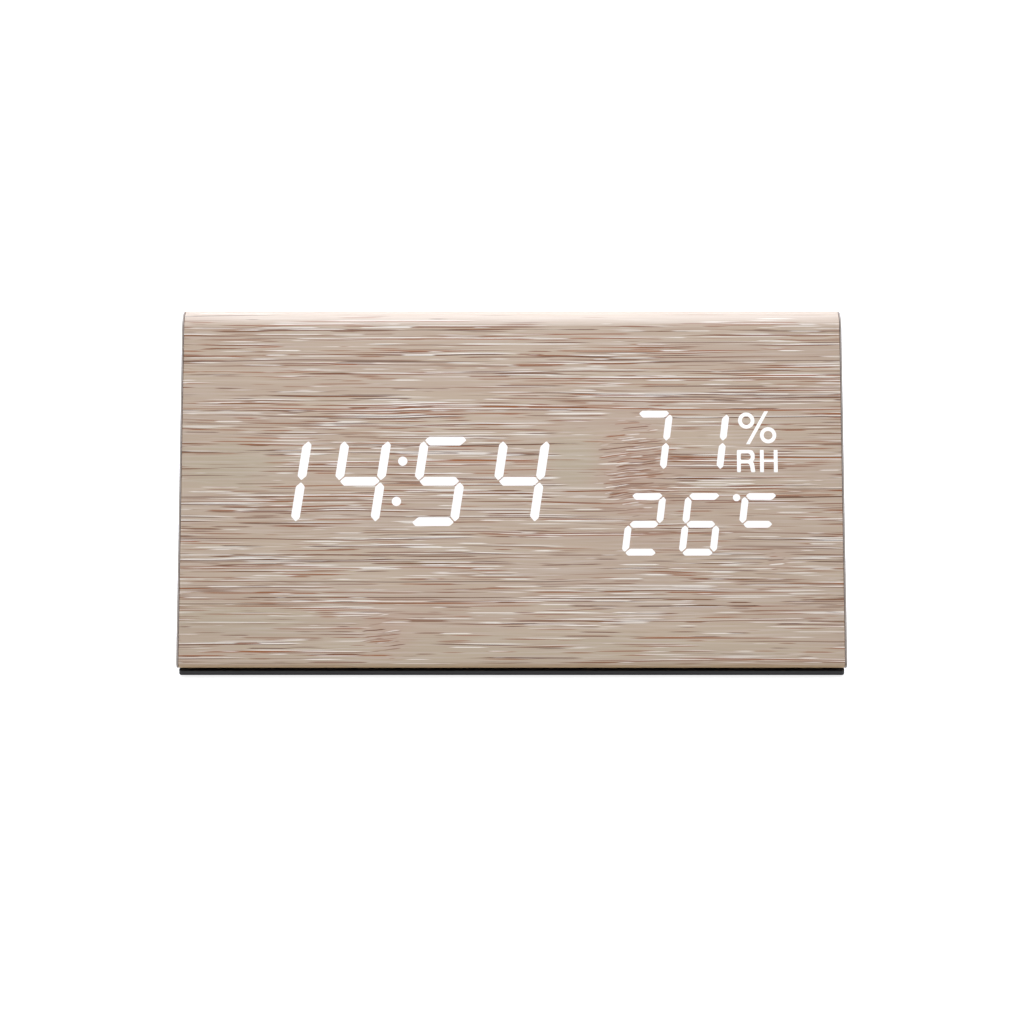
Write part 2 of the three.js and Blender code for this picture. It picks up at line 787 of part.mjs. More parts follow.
const doorwayHalfLength = bayHalfLength + bayLedge;
const doorwayHalfDepth = bayHalfDepth + bayLedge;
const doorHalfLength = doorwayHalfLength - fitGap;
const doorHalfDepth = doorwayHalfDepth - fitGap;
const doorLipTop = footHeight + doorLipThickness;
const doorTabBottom = doorLipTop + fitGap;
const floorHalfLength = endBoardFace - fitGap;
const floorHalfDepth = wrapReturnEdge - fitGap;
const cellDepths = Array.from({ length: cellCount }, (_, i) => (i - (cellCount - 1) / 2) * cellPitch);
const contactOuter = bayHalfLength - fitGap;
const contactInner = contactOuter - contactThickness;

function bayCavity() {
  const down = footHeight - overrun;
  const cradle = (y) => rod(cradleRadius * 2, both(bayHalfLength), 0, 0, roundSides)
    .rotateY(Math.PI / 2).translate(0, y, cellAxis);
  const contactBay = (side) => box(
    [contactInner - fitGap, bayHalfLength].map((x) => x * side).sort((a, b) => a - b),
    both(bayHalfDepth), [down, cradleTop]);
  return join(box(both(bayHalfLength), both(bayHalfDepth), [down, cellAxis]),
    ...cellDepths.map(cradle), contactBay(-1), contactBay(1));
}

function tabNotches() {
  const width = doorTabWidth / 2 + fitGap;
  return [-doorTabPlace, doorTabPlace].map((x) => box([x - width, x + width],
    [bayHalfDepth - overrun, doorHalfDepth + doorTabSwing], [doorLipTop, doorOuter + doorTabSwing]));
}

const tabSlotWidth = contactTabWidth + fitGap * 2;
const tabSlotLength = contactThickness + fitGap * 2;

function terminalSlot(side, y) {
  const across = [contactInner - fitGap, contactInner - fitGap + tabSlotLength].map((x) => x * side);
  return box(across.sort((a, b) => a - b), [y - tabSlotWidth / 2, y + tabSlotWidth / 2],
    [cradleTop - overrun, bayTop + overrun]);
}

function baseScrewHole(sideX, sideY) {
  const head = baseScrewHeadDiameter / 2 + screwClearance * 2;
  const shank = baseScrewDiameter / 2 + screwClearance;
  const sink = footHeight + baseScrewHeadHeight + screwClearance;
  const profile = [
    [0, footHeight - overrun], [head, footHeight - overrun], [head, footHeight],
    [shank, sink], [shank, floorTop + overrun], [0, floorTop + overrun],
  ];
  return moved(turned(profile, smallSides), blockX * sideX, screwDepth * sideY, 0);
}

function forCorners(make) {
  return [-1, 1].flatMap((sideY) => [-1, 1].map((sideX) => make(sideX, sideY)));
}

function basePlate() {
  const flangeX = both(clockWidth / 2 - flangeInset);
  const flangeY = both(clockDepth / 2 - flangeInset);
  const flange = slab(roundedRectangle(flangeX, flangeY, flangeCorner), [footHeight, flangeTop]);
  const setIn = flangeInset + grooveDepth;
  const step = box(both(clockWidth / 2 - setIn), both(clockDepth / 2 - setIn), [footHeight, woodBottom]);
  const floor = box(both(floorHalfLength), both(floorHalfDepth), [footHeight, floorTop]);
  const ribTop = floorTop + locatingRibHeight;
  const rib = cut(box(both(floorHalfLength), both(floorHalfDepth), [footHeight, ribTop]),
    box(both(floorHalfLength - locatingRibThickness), both(floorHalfDepth - locatingRibThickness),
      [floorTop, ribTop + overrun]),
    ...forCorners((sideX, sideY) => box(
      [blockOuterX - blockLength - fitGap, blockOuterX + overrun].map((x) => x * sideX).sort((a, b) => a - b),
      [blockInnerDepth - fitGap, blockOuterDepth].map((y) => y * sideY).sort((a, b) => a - b),
      [floorTop, ribTop + overrun])));
  const bay = box(both(bayHalfLength + bayWall), both(bayHalfDepth + bayWall), [footHeight, bayTop]);
  const doorway = box(both(doorwayHalfLength), both(doorwayHalfDepth),
    [footHeight - overrun, doorInner + fitGap]);
  const fingerRecess = box(both(fingerRecessWidth / 2),
    [-doorwayHalfDepth - fingerRecessReach, -doorwayHalfDepth + overrun],
    [footHeight - overrun, footHeight + fingerRecessDepth]);
  const slots = Array.from({ length: floorSlotCount }, (_, i) => {
    const x = floorSlotPlace + (i - (floorSlotCount - 1) / 2) * floorSlotPitch;
    return box([x - floorSlotWidth / 2, x + floorSlotWidth / 2], both(floorSlotLength / 2),
      [footHeight - overrun, floorTop + overrun]);
  });
  return cut(join(flange, step, floor, rib, bay), bayCavity(), doorway, ...tabNotches(), fingerRecess,
    terminalSlot(-1, cellDepths[0]), terminalSlot(1, cellDepths[cellCount - 1]),
    ...slots, ...forCorners(baseScrewHole));
}

// The door turns about the lower edge of its rear side, on two tabs that lie over a lip of the base
function batteryDoor() {
  const plate = slab(roundedRectangle(both(doorHalfLength), both(doorHalfDepth), doorCorner),
    [doorOuter, doorInner]);
  const tabs = [-doorTabPlace, doorTabPlace].flatMap((x) => {
    const across = [x - doorTabWidth / 2, x + doorTabWidth / 2];
    const top = doorTabBottom + doorTabThickness;
    return [
      box(across, [doorHalfDepth - doorTabRoot, doorHalfDepth + doorTabReach], [doorTabBottom, top]),
      box(across, [doorHalfDepth - doorTabRoot, doorHalfDepth], [doorOuter, top]),
    ];
  });
  const ribs = cellDepths.slice(1).map((y) => {
    const middle = y - cellPitch / 2;
    return box(both((cellLength - cellDiameter) / 2),
      [middle - doorRibWidth / 2, middle + doorRibWidth / 2], [doorOuter, doorInner + doorRibHeight]);
  });
  const latchOuter = -doorHalfDepth + doorLatchSetIn;
  const latch = box(both(doorLatchWidth / 2), [latchOuter, latchOuter + doorLatchThickness],
    [doorOuter, doorInner + doorLatchHeight]);
  const grips = Array.from({ length: doorGripCount }, (_, i) => {
    const y = -doorHalfDepth + doorGripPitch * (i + 1);
    return box(both(doorGripLength / 2), [y, y + doorGripWidth],
      [doorOuter - overrun, doorOuter + doorGripDepth]);
  });
  return cut(join(plate, ...tabs, ...ribs, latch), ...grips);
}

// Battery cells and contacts

function batteryCell(side, y) {
  const radius = cellDiameter / 2;
  const body = cellLength - cellNubHeight;
  const nub = cellNubDiameter / 2;
  const profile = [
    [0, 0], [radius - cellEdge, 0], [radius, cellEdge], [radius, body - cellEdge],
    [radius - cellEdge, body], [nub, body], [nub, cellLength], [0, cellLength],
  ];
  return turned(profile, roundSides).translate(0, 0, -cellLength / 2)
    .rotateY(side * Math.PI / 2).translate(0, y, cellAxis);
}

// A conical spring that stands off the contact plate along +X, towards the cell
function contactSpring() {
  const reach = contactSpace - fitGap * 2 - contactThickness;
  class SpringLine extends THREE.Curve {
    getPoint(t, target = new THREE.Vector3()) {
      const angle = t * springTurns * Math.PI * 2;
      const radius = THREE.MathUtils.lerp(springRootDiameter, springTipDiameter, t) / 2 - springWire / 2;
      const rise = THREE.MathUtils.lerp(0, reach - springWire / 2, t);
      return target.set(rise, radius * Math.cos(angle), radius * Math.sin(angle));
    }
  }
  return tube(new SpringLine(), springWire, springTurns * springStepsPerTurn, springSides);
}

// A contact at the left wall of the bay. Ends say what each cell shows it: minus takes a spring, plus a dome
function contact(ends, terminal) {
  const width = contactWidth / 2;
  const first = ends[0].y;
  const last = ends[ends.length - 1].y;
  const plate = box([-contactOuter, -contactInner], [first - width, last + width],
    [cellAxis - contactHeight / 2, cellAxis + contactHeight / 2]);
  const domeReach = contactSpace - fitGap;
  const ready = ends.map(({ sign, y }) => {
    if (sign === 'minus') return moved(contactSpring(), -contactInner, y, cellAxis);
    const wide = contactDomeDiameter / 2;
    const narrow = cellNubDiameter / 2;
    const tip = domeReach - fitGap;
    const dome = turned([[0, 0], [wide, 0], [narrow, tip], [0, tip]], smallSides);
    return dome.rotateY(Math.PI / 2).translate(-contactOuter, y, cellAxis);
  });
  if (!terminal) return join(plate, ...ready);
  const tab = box([-contactOuter, -contactInner], [first - contactTabWidth / 2, first + contactTabWidth / 2],
    [cellAxis, bayTop + contactTabRise]);
  return join(plate, tab, ...ready);
}

// The same contact at the right wall, turned half round so that it stays a true solid
function contactAtRight(ends, terminal) {
  const turnedEnds = ends.map(({ sign, y }) => ({ sign, y: -y })).reverse();
  return contact(turnedEnds, terminal).rotateZ(Math.PI);
}

// Display

function segmentFrame() {
  const block = box(...faceRectangle(frameMargin - fitGap), [frameBack, frameFront]);
  const flange = box(...moduleOutline, [frameBack, flangeFront]);
  const bosses = bossPlaces.map(([x, y]) => rod(frameBossDiameter,
    [displayFront + fitGap, frameBack + frameFlangeThickness / 2], x, y, smallSides));
  const bores = bossPlaces.map(([x, y]) => rod(boardScrewDiameter + screwClearance * 2,
    [displayFront - overrun, frameBack + boardScrewEnd + screwClearance], x, y, smallSides));
  const wells = markSolids([frameBack - overrun, frameFront + overrun], wellClearance);
  return cut(join(block, flange, ...bosses), ...wells, ...bores);
}

function lightGuide() {
  const sheet = box(...faceRectangle(guideSheetMargin), [guideBack, guideFront]);
  const lit = markSolids([guideBack, 0], 0, true);
  const unlit = markSolids([guideBack, frameFront - unlitRecess], 0, false);
  const eyes = dots.filter((dot) => dot.bore).map((dot) => rod(
    dot.bore, [-markRecessDepth, overrun], dot.x, dot.y, smallSides));
  const eyeOfR = box(
    [letterREye.x[0] + strokeHalf, letterREye.x[1] - strokeHalf],
    [letterREye.y[0] + strokeHalf, letterREye.y[1] - strokeHalf], [-markRecessDepth, overrun]);
  const bossRoom = bossPlaces.map(([x, y]) => rod(
    frameBossDiameter + fitGap * 2, [guideBack - overrun, guideFront + overrun], x, y, smallSides));
  return cut(join(sheet, ...lit, ...unlit), ...eyes, eyeOfR, ...bossRoom);
}

function displayBoard() {
  const board = box(...moduleOutline, [displayBack, displayFront]);
  const chips = bars.map(({ style, place, middle, out }) => {
    const y = middle[1] * style.height;
    const x = place[0] + middle[0] * style.width + y * style.lean;
    const flat = out[0] === 0;
    const halfX = (flat ? chipLength : chipWidth) / 2;
    const halfY = (flat ? chipWidth : chipLength) / 2;
    return box([x - halfX, x + halfX], [place[1] + y - halfY, place[1] + y + halfY],
      [displayFront - circuitThickness / 2, chipFront]);
  });
  const holes = bossPlaces.map(([x, y]) => rod(boardScrewDiameter + fitGap * 2,
    [displayBack - overrun, displayFront + overrun], x, y, smallSides));
  return cut(join(board, ...chips), ...holes);
}

// A pan-headed screw driven outwards: its head bears on a board's back, its tip ends in a boss
function boardScrew(seat, tip, x, y) {
  const head = boardScrewHeadDiameter / 2;
  const shank = boardScrewDiameter / 2;
  const under = seat - solderGap;
  const profile = [
    [0, under - boardScrewHeadHeight], [head, under - boardScrewHeadHeight], [head, under],
    [shank, under], [shank, tip], [0, tip],
  ];
  return moved(turned(profile, smallSides), x, y, 0);
}

// Rear controls

const panelPostPlace = panelWidth / 2 - panelPostSetIn;
const panelPosts = both(panelPostPlace);
const microphonePlace = panelWidth * microphonePlaceShare;
const ventPlace = panelWidth * ventPlaceShare;
const socketPlace = panelWidth * socketPlaceShare;

function buttonAcross(i) {
  return panelWidth * (buttonPlaceShare + buttonPitchShare * i);
}

function rearPanel() {
  const body = slab(roundedRectangle(panelAcross, panelUp, panelCorner), [panelFlangeBack, plateFront]);
  const flange = slab(roundedRectangle(
    panelAcross.map((x) => x + Math.sign(x) * panelFlangeReach),
    [panelUp[0] - panelFlangeReach, panelUp[1] + panelFlangeReach], panelCorner + panelFlangeReach),
  [panelFlangeBack, panelFlangeFront]);
  const hollow = box(panelAcross.map((x) => x - Math.sign(x) * panelWall),
    [panelUp[0] + panelWall, panelUp[1] - panelWall], [panelFlangeBack - overrun, plateBack]);
  const posts = panelPosts.map((x) => rod(panelPostDiameter,
    [partsFront, plateBack + panelPlate / 2], x, panelPlaceUp, smallSides));
  const bores = panelPosts.map((x) => rod(boardScrewDiameter + screwClearance * 2,
    [mainFront - overrun, mainFront + boardScrewReach + screwClearance], x, panelPlaceUp, smallSides));
  const through = [plateBack - overrun, overrun];
  const buttonHoles = buttonNames.map((_, i) => rod(buttonDiameter + fitGap * 2,
    through, buttonAcross(i), panelPlaceUp, roundSides));
  const vents = Array.from({ length: ventCount }, (_, i) => {
    const x = ventPlace + (i - (ventCount - 1) / 2) * ventPitch;
    return box([x - ventWidth / 2, x + ventWidth / 2],
      [panelPlaceUp - ventLength / 2, panelPlaceUp + ventLength / 2], through);
  });
  const microphoneBore = rod(microphoneHole, through, microphonePlace, panelPlaceUp, smallSides);
  const socketHole = slab(socketOutline(fitGap), through);
  return cut(join(cut(join(body, flange), hollow), ...posts), ...bores, ...buttonHoles, ...vents,
    microphoneBore, socketHole);
}

function buttonCap(i) {
  const radius = buttonDiameter / 2;
  const wide = buttonFlangeDiameter / 2;
  const profile = [
    [0, capBack], [wide, capBack], [wide, capFlangeFront], [radius, capFlangeFront],
    [radius, buttonProud - buttonEdge], [radius - buttonEdge, buttonProud], [0, buttonProud],
  ];
  return moved(turned(profile, roundSides), buttonAcross(i), panelPlaceUp, 0);
}

function plunger(i) {
  return rod(plungerDiameter, [plungerBack, plungerFront], buttonAcross(i), panelPlaceUp, smallSides);
}

function tactSwitch(i) {
  const x = buttonAcross(i);
  const half = switchWidth / 2;
  const up = [panelPlaceUp - half, panelPlaceUp + half];
  const body = slab(roundedRectangle([x - half, x + half], up, switchCorner), [switchBack, switchFront]);
  const bore = rod(plungerDiameter + fitGap * 2, [switchFront - switchBoreDepth, switchFront + overrun],
    x, panelPlaceUp, smallSides);
  return cut(body, bore);
}

// The socket's outline: wide at the top, with two chamfered lower corners
function socketOutline(grow) {
  const half = socketWidth / 2 + grow;
  const top = panelPlaceUp + socketThickness / 2 + grow;
  const bottom = panelPlaceUp - socketThickness / 2 - grow;
  return outline([
    [socketPlace - half + socketChamfer, bottom], [socketPlace + half - socketChamfer, bottom],
    [socketPlace + half, bottom + socketChamfer], [socketPlace + half, top],
    [socketPlace - half, top], [socketPlace - half, bottom + socketChamfer],
  ]);
}

function usbSocket() {
  const mouth = plateFront - socketRecess;
  const shell = cut(slab(socketOutline(0), [partsFront, mouth]),
    slab(socketOutline(-socketWall), [partsFront + socketFloor, mouth + overrun]));
  const tongueHalf = socketTongueThickness / 2;
  const tongue = box([socketPlace - socketTongueWidth / 2, socketPlace + socketTongueWidth / 2],
    [panelPlaceUp - tongueHalf, panelPlaceUp + tongueHalf],
    [partsFront + socketFloor / 2, mouth - socketTongueSetIn]);
  return join(shell, tongue);
}

function microphone() {
  return rod(microphoneDiameter, [partsFront, partsFront + microphoneHeight],
    microphonePlace, panelPlaceUp, roundSides);
}

function humiditySensor() {
  const top = partsFront + sensorHeight;
  const body = box([ventPlace - sensorWidth / 2, ventPlace + sensorWidth / 2],
    [panelPlaceUp - sensorLength / 2, panelPlaceUp + sensorLength / 2], [partsFront, top]);
  const window = rod(sensorWindow, [top - sensorWindowDepth, top + overrun],
    ventPlace, panelPlaceUp, smallSides);
  return cut(body, window);
}

// Main board and what it carries on its inner side

const chipPlaceAcross = mainBoardWidth * chipPlaceShare;
const crystalPlaceAcross = mainBoardWidth * crystalPlaceShare;
const buzzerPlaceAcross = mainBoardWidth * buzzerPlaceShare;
const headerPlace = mainBoardWidth * headerPlaceShare;

function mainBoard() {
  const board = box(both(mainBoardWidth / 2),
    [mainBoardMiddle - mainBoardHeight / 2, mainBoardMiddle + mainBoardHeight / 2], [mainBack, mainFront]);
  const holes = panelPosts.map((x) => rod(boardScrewDiameter + fitGap * 2,
    [mainBack - overrun, mainFront + overrun], x, panelPlaceUp, smallSides));
  return cut(board, ...holes);
}

function microcontroller() {
  const half = chipBodyWidth / 2;
  const y = mainBoardMiddle + chipPlaceUp;
  const body = box([chipPlaceAcross - half, chipPlaceAcross + half], [y - half, y + half],
    [partsBack - chipBodyHeight, partsBack]);
  const rows = Array.from({ length: pinCount }, (_, i) => (i - (pinCount - 1) / 2) * pinPitch);
  const levels = [partsBack - pinThickness, partsBack];
  const reaches = [[half - pinReach, half + pinReach], [-half - pinReach, pinReach - half]];
  const pins = rows.flatMap((offset) => reaches.flatMap((reach) => {
    const across = [offset - pinWidth / 2, offset + pinWidth / 2];
    return [
      box(reach.map((v) => v + chipPlaceAcross), across.map((v) => v + y), levels),
      box(across.map((v) => v + chipPlaceAcross), reach.map((v) => v + y), levels),
    ];
  }));
  return join(body, ...pins);
}

function crystal() {
  const x = crystalPlaceAcross;
  const y = mainBoardMiddle + crystalPlaceUp;
  const halfLength = crystalLength / 2;
  const halfWidth = crystalWidth / 2;
  return slab(roundedRectangle([x - halfLength, x + halfLength], [y - halfWidth, y + halfWidth], halfWidth),
    [partsBack - crystalHeight, partsBack]);
}

function buzzer() {
  const y = mainBoardMiddle + buzzerPlaceUp;
  const back = partsBack - buzzerHeight;
  const can = rod(buzzerDiameter, [back, partsBack], buzzerPlaceAcross, y, roundSides);
  const hole = rod(buzzerHole, [back - overrun, back + buzzerHeight / 2], buzzerPlaceAcross, y, smallSides);
  return cut(can, hole);
}

function header(x, y, back) {
  return box([x - headerLength / 2, x + headerLength / 2], [y - headerWidth / 2, y + headerWidth / 2],
    [back - headerHeight, back]);
}

// Ribbon and leads

const headerDisplayMiddle = (markReach.min.y + markReach.max.y) / 2;
const headerMainMiddle = mainBoardMiddle + mainBoardHeight / 2 - headerSetIn - headerWidth / 2;
const displayHeaderBack = displayBack - solderGap;

// A point of a face's frame in the clock's frame
function fromFront(x, y, z) {
  return new THREE.Vector3(x, y, z).applyMatrix4(frontFace.matrixWorld);
}

function fromRear(x, y, z) {
  return new THREE.Vector3(x, y, z).applyMatrix4(rearFace.matrixWorld);
}

// The ribbon leaves each header square to its board and hangs between them, as a strip of even thickness
function ribbonCable() {
  const displayEnd = displayHeaderBack - headerHeight - fitGap;
  const mainEnd = partsBack - headerHeight - fitGap;
  const line = new THREE.CubicBezierCurve3(
    fromFront(headerPlace, headerDisplayMiddle, displayEnd),
    fromFront(headerPlace, headerDisplayMiddle, displayEnd - ribbonBend),
    fromRear(-headerPlace, headerMainMiddle, mainEnd - ribbonBend),
    fromRear(-headerPlace, headerMainMiddle, mainEnd));
  const upper = [];
  const lower = [];
  for (let i = 0; i <= ribbonSteps; i += 1) {
    const point = line.getPoint(i / ribbonSteps);
    const along = line.getTangent(i / ribbonSteps);
    const asideY = -along.z * ribbonThickness / 2;
    const asideZ = along.y * ribbonThickness / 2;
    upper.push([point.y + asideY, point.z + asideZ]);
    lower.unshift([point.y - asideY, point.z - asideZ]);
  }
  return beam(outline([...lower, ...upper].reverse()),
    [headerPlace - ribbonWidth / 2, headerPlace + ribbonWidth / 2]);
}

// A lead from a terminal's tab up to the inner side of the main board
function batteryLead(side, y) {
  const x = side * (contactInner + contactOuter) / 2;
  const tabTop = bayTop + contactTabRise + fitGap;
  const boardX = -side * (panelPostPlace - boardScrewHeadDiameter - leadDiameter);
  const boardY = mainBoardMiddle + leadPlaceUp;
  const line = new THREE.CubicBezierCurve3(
    new THREE.Vector3(x, y, tabTop),
    new THREE.Vector3(x, y, tabTop + leadBend),
    fromRear(boardX, boardY, partsBack - leadBend),
    fromRear(boardX, boardY, partsBack));
  return tube(line, leadDiameter, leadSteps, leadSides);
}

// Assembly

add(clock, 'veneer_wrap', veneerWrap(), bamboo);
add(clock, 'end_veneer_left', endVeneer(-1), bamboo);
add(clock, 'end_veneer_right', endVeneer(1), bamboo);

const displayWindow = onFront(box(...faceRectangle(frameMargin), [-boardInner - overrun, overrun]));
add(clock, 'front_board', casingBoard(-1, displayWindow), fibreboard);
add(clock, 'rear_board', casingBoard(1, panelWindow), fibreboard);
add(clock, 'end_board_left', endBoard(-1), fibreboard);
add(clock, 'end_board_right', endBoard(1), fibreboard);

for (const [sideY, depthName] of [[-1, 'front'], [1, 'rear']]) {
  for (const [sideX, acrossName] of [[-1, 'left'], [1, 'right']]) {
    const place = `${depthName}_${acrossName}`;
    const footX = (clockWidth / 2 - footSetInAcross) * sideX;
    const footY = (clockDepth / 2 - footSetInDeep) * sideY;
    add(clock, `corner_block_${place}`, cornerBlock(sideX, sideY), fibreboard);
    add(clock, `base_screw_${place}`, baseScrew(sideX, sideY), screwSteel);
    add(clock, `foot_${place}`, rod(footDiameter, [0, footHeight], footX, footY, roundSides), blackRubber);
  }
}

add(clock, 'base_plate', basePlate(), blackPlastic);
add(clock, 'battery_door', batteryDoor(), blackPlastic);

// The three cells are in series, so each next one lies the other way round
cellDepths.forEach((y, i) => {
  add(clock, `battery_cell_${i + 1}`, batteryCell(i % 2 === 0 ? 1 : -1, y), cellJacket);
});
const [first, second, third] = cellDepths;
const leftBridge = contact([{ sign: 'plus', y: second }, { sign: 'minus', y: third }], false);
const rightBridge = contactAtRight([{ sign: 'plus', y: first }, { sign: 'minus', y: second }], false);
add(clock, 'negative_contact', contact([{ sign: 'minus', y: first }], true), springSteel);
add(clock, 'bridge_contact_left', leftBridge, springSteel);
add(clock, 'bridge_contact_right', rightBridge, springSteel);
add(clock, 'positive_contact', contactAtRight([{ sign: 'plus', y: third }], true), springSteel);

add(frontFace, 'segment_frame', segmentFrame(), blackPlastic);
add(frontFace, 'light_guide', lightGuide(), clearPlastic);
add(frontFace, 'display_board', displayBoard(), whiteBoard);
bossPlaces.forEach(([x, y], i) => {
  const screw = boardScrew(displayBack, frameBack + boardScrewEnd, x, y);
  add(frontFace, `display_screw_${i + 1}`, screw, screwSteel);
});
const displayHeader = header(headerPlace, headerDisplayMiddle, displayHeaderBack);
add(frontFace, 'ribbon_header_display', displayHeader, chipBlack);

add(rearFace, 'rear_panel', rearPanel(), blackPlastic);
buttonNames.forEach((name, i) => {
  add(rearFace, `button_${name}`, buttonCap(i), blackRubber);
  add(rearFace, `plunger_${name}`, plunger(i), blackPlastic);
  add(rearFace, `switch_${name}`, tactSwitch(i), switchMetal);
});
add(rearFace, 'usb_socket', usbSocket(), switchMetal);
add(rearFace, 'microphone', microphone(), switchMetal);
add(rearFace, 'humidity_sensor', humiditySensor(), chipBlack);
add(rearFace, 'main_board', mainBoard(), greenBoard);
add(rearFace, 'microcontroller', microcontroller(), chipBlack);
add(rearFace, 'crystal', crystal(), switchMetal);
add(rearFace, 'buzzer', buzzer(), chipBlack);
add(rearFace, 'ribbon_header_main', header(-headerPlace, headerMainMiddle, partsBack), chipBlack);
panelPosts.forEach((x, i) => {
  const screw = boardScrew(mainBack, mainFront + boardScrewReach, x, panelPlaceUp);
  add(rearFace, `board_screw_${i + 1}`, screw, screwSteel);
});

add(clock, 'ribbon_cable', ribbonCable(), greyRibbon);
add(clock, 'battery_lead_red', batteryLead(1, third), redLead);
add(clock, 'battery_lead_black', batteryLead(-1, first), blackLead);

export default clock;
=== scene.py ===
"""A wooden alarm clock: bamboo veneer, a display that shines through it, a black base and a black rear panel.

Lengths in the values below are in millimetres, and MM turns them to metres. +Z is up, and the display
faces -Y.
"""

import json
import math

import bmesh
import bpy
import numpy as np
from bpy.props import FloatProperty, FloatVectorProperty, PointerProperty
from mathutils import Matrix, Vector


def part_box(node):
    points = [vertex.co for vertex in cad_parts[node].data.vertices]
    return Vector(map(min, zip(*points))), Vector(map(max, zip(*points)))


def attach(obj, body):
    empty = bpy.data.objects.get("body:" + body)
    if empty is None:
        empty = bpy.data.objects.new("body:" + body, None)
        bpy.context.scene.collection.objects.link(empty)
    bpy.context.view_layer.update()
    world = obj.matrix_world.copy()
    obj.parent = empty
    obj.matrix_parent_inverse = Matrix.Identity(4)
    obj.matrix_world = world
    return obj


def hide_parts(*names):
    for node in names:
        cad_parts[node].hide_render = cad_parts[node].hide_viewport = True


bl_info = {
    "name": "Wooden digital alarm clock",
    "version": (1, 0, 0),
    "blender": (4, 5, 0),
    "location": "3D View > Sidebar > Clock",
    "description": "Finishes a triangular desk clock in bamboo veneer with a display that shines through it",
    "category": "Object",
}

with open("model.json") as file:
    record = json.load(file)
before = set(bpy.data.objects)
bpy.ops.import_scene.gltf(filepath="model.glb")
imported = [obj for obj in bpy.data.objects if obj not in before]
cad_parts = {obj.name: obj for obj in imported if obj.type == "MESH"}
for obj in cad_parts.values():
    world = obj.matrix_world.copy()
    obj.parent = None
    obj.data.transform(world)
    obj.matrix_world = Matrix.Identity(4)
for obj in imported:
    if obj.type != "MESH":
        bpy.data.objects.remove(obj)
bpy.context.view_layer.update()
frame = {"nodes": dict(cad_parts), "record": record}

MM = 0.001


def linear(hex_colour):
    """An sRGB hex colour as linear red, green, blue and 1."""
    parts = [int(hex_colour[i:i + 2], 16) / 255 for i in (1, 3, 5)]
    return (*[c / 12.92 if c <= 0.04045 else ((c + 0.055) / 1.055) ** 2.4 for c in parts], 1.0)


def node_box(node_name):
    """A construction node's lowest and highest corners, in millimetres."""
    return [np.array(corner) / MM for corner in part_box(node_name)]


# Camera, from the photograph's perspective: what it looks at, how far away and how many degrees up it is
CAMERA_TARGET = (0.06, 0.0, 26.65)
CAMERA_DISTANCE, CAMERA_ELEVATION = 547.4, 19.07
CAMERA_LENS, CAMERA_SENSOR = 81.75, 36.0

# Softboxes: place, aim and size in metres, power in watts, and colour
LAMPS = {
    "softbox_above": ((0.0, 0.0, 0.85), (0.0, 0.0, 0.05), (0.9, 1.0), 13.9, "#e7f0ff"),
    "softbox_behind": ((0.0, 0.9, 0.75), (0.0, 0.0, 0.07), (0.9, 0.3), 2.2, "#dfeaff"),
    "softbox_front": ((-0.25, -1.0, 0.9), (0.0, 0.0, 0.03), (0.9, 0.9), 0.9, "#fff8f0"),
}
# The world's strength as a light, the glow that keeps the floor white, and half the floor's side
WORLD_LIGHT, FLOOR_GLOW, FLOOR_REACH = 0.25, 0.85, 3000.0

# Casing section: a line drawn round two circles at the lower corners and one at the ridge. The sheet's edges
# come back under the casing by WRAP_RETURN.
RIDGE_RADIUS, CORNER_RADIUS = 4.6, 1.5
RIDGE_STEPS, CORNER_STEPS = 18, 10
WRAP_RETURN = 5.0
VENEER_LOW, VENEER_HIGH = node_box("veneer_wrap")
CORNER_CENTRE = np.array([VENEER_HIGH[1] - CORNER_RADIUS, VENEER_LOW[2] + CORNER_RADIUS])
RIDGE_CENTRE = np.array([0.0, VENEER_HIGH[2] - RIDGE_RADIUS])
BETWEEN = RIDGE_CENTRE - CORNER_CENTRE
TILT = (math.atan2(BETWEEN[1], BETWEEN[0])
        - math.acos((CORNER_RADIUS - RIDGE_RADIUS) / np.linalg.norm(BETWEEN)))
NORMAL = np.array([math.cos(TILT), math.sin(TILT)])
FACE_FOOT = CORNER_CENTRE + NORMAL * CORNER_RADIUS
FACE_HEAD = RIDGE_CENTRE + NORMAL * RIDGE_RADIUS
FACE_LENGTH = np.linalg.norm(FACE_HEAD - FACE_FOOT)
RIDGE_ARC = RIDGE_RADIUS * (math.pi / 2 - TILT)

# Steps of an eased edge: how far each lies from the end and how far it is set in, as shares of the easing
EASED_STEPS = ((1.0, 0.0), (0.3, 0.3), (0.0, 1.0))

# Folds of the sheet: how far past the slope's foot and before the ridge's edge they start, and their fade
FOLD_START, FOLD_FADE = 0.3, 1.2
# The ridge's band gets a painted highlight: paler wood and fewer fibres
RIDGE_START, RIDGE_FADE = 0.4, 2.0

# Each end face has its own stretch of grain: the shift along for its side, across, and across for its side
END_SHIFT = (310.0, 200.0, 50.0)

# Panel window in the rear sheet: its corners, the gap round the panel, and the cutter's reach in and out
WINDOW_CORNER, WINDOW_GAP, CUTTER_REACH = 2.0, 0.3, 3.0

# Digits, and the middles of the time's last and the small rows' first digit, across the face and up its slope
TIME = {"height": 18.3, "width": 9.4, "bar": 2.0, "lean": 0.15}
SMALL = {"height": 12.6, "width": 6.95, "bar": 1.55, "lean": 0.127}
TIME_PITCH, SMALL_PITCH = 17.925, 12.795
TIME_PLACE = (1.6, 40.45)
HUMIDITY_PLACE = (31.4, 49.46)
TEMPERATURE_PLACE = (29.75, 30.68)

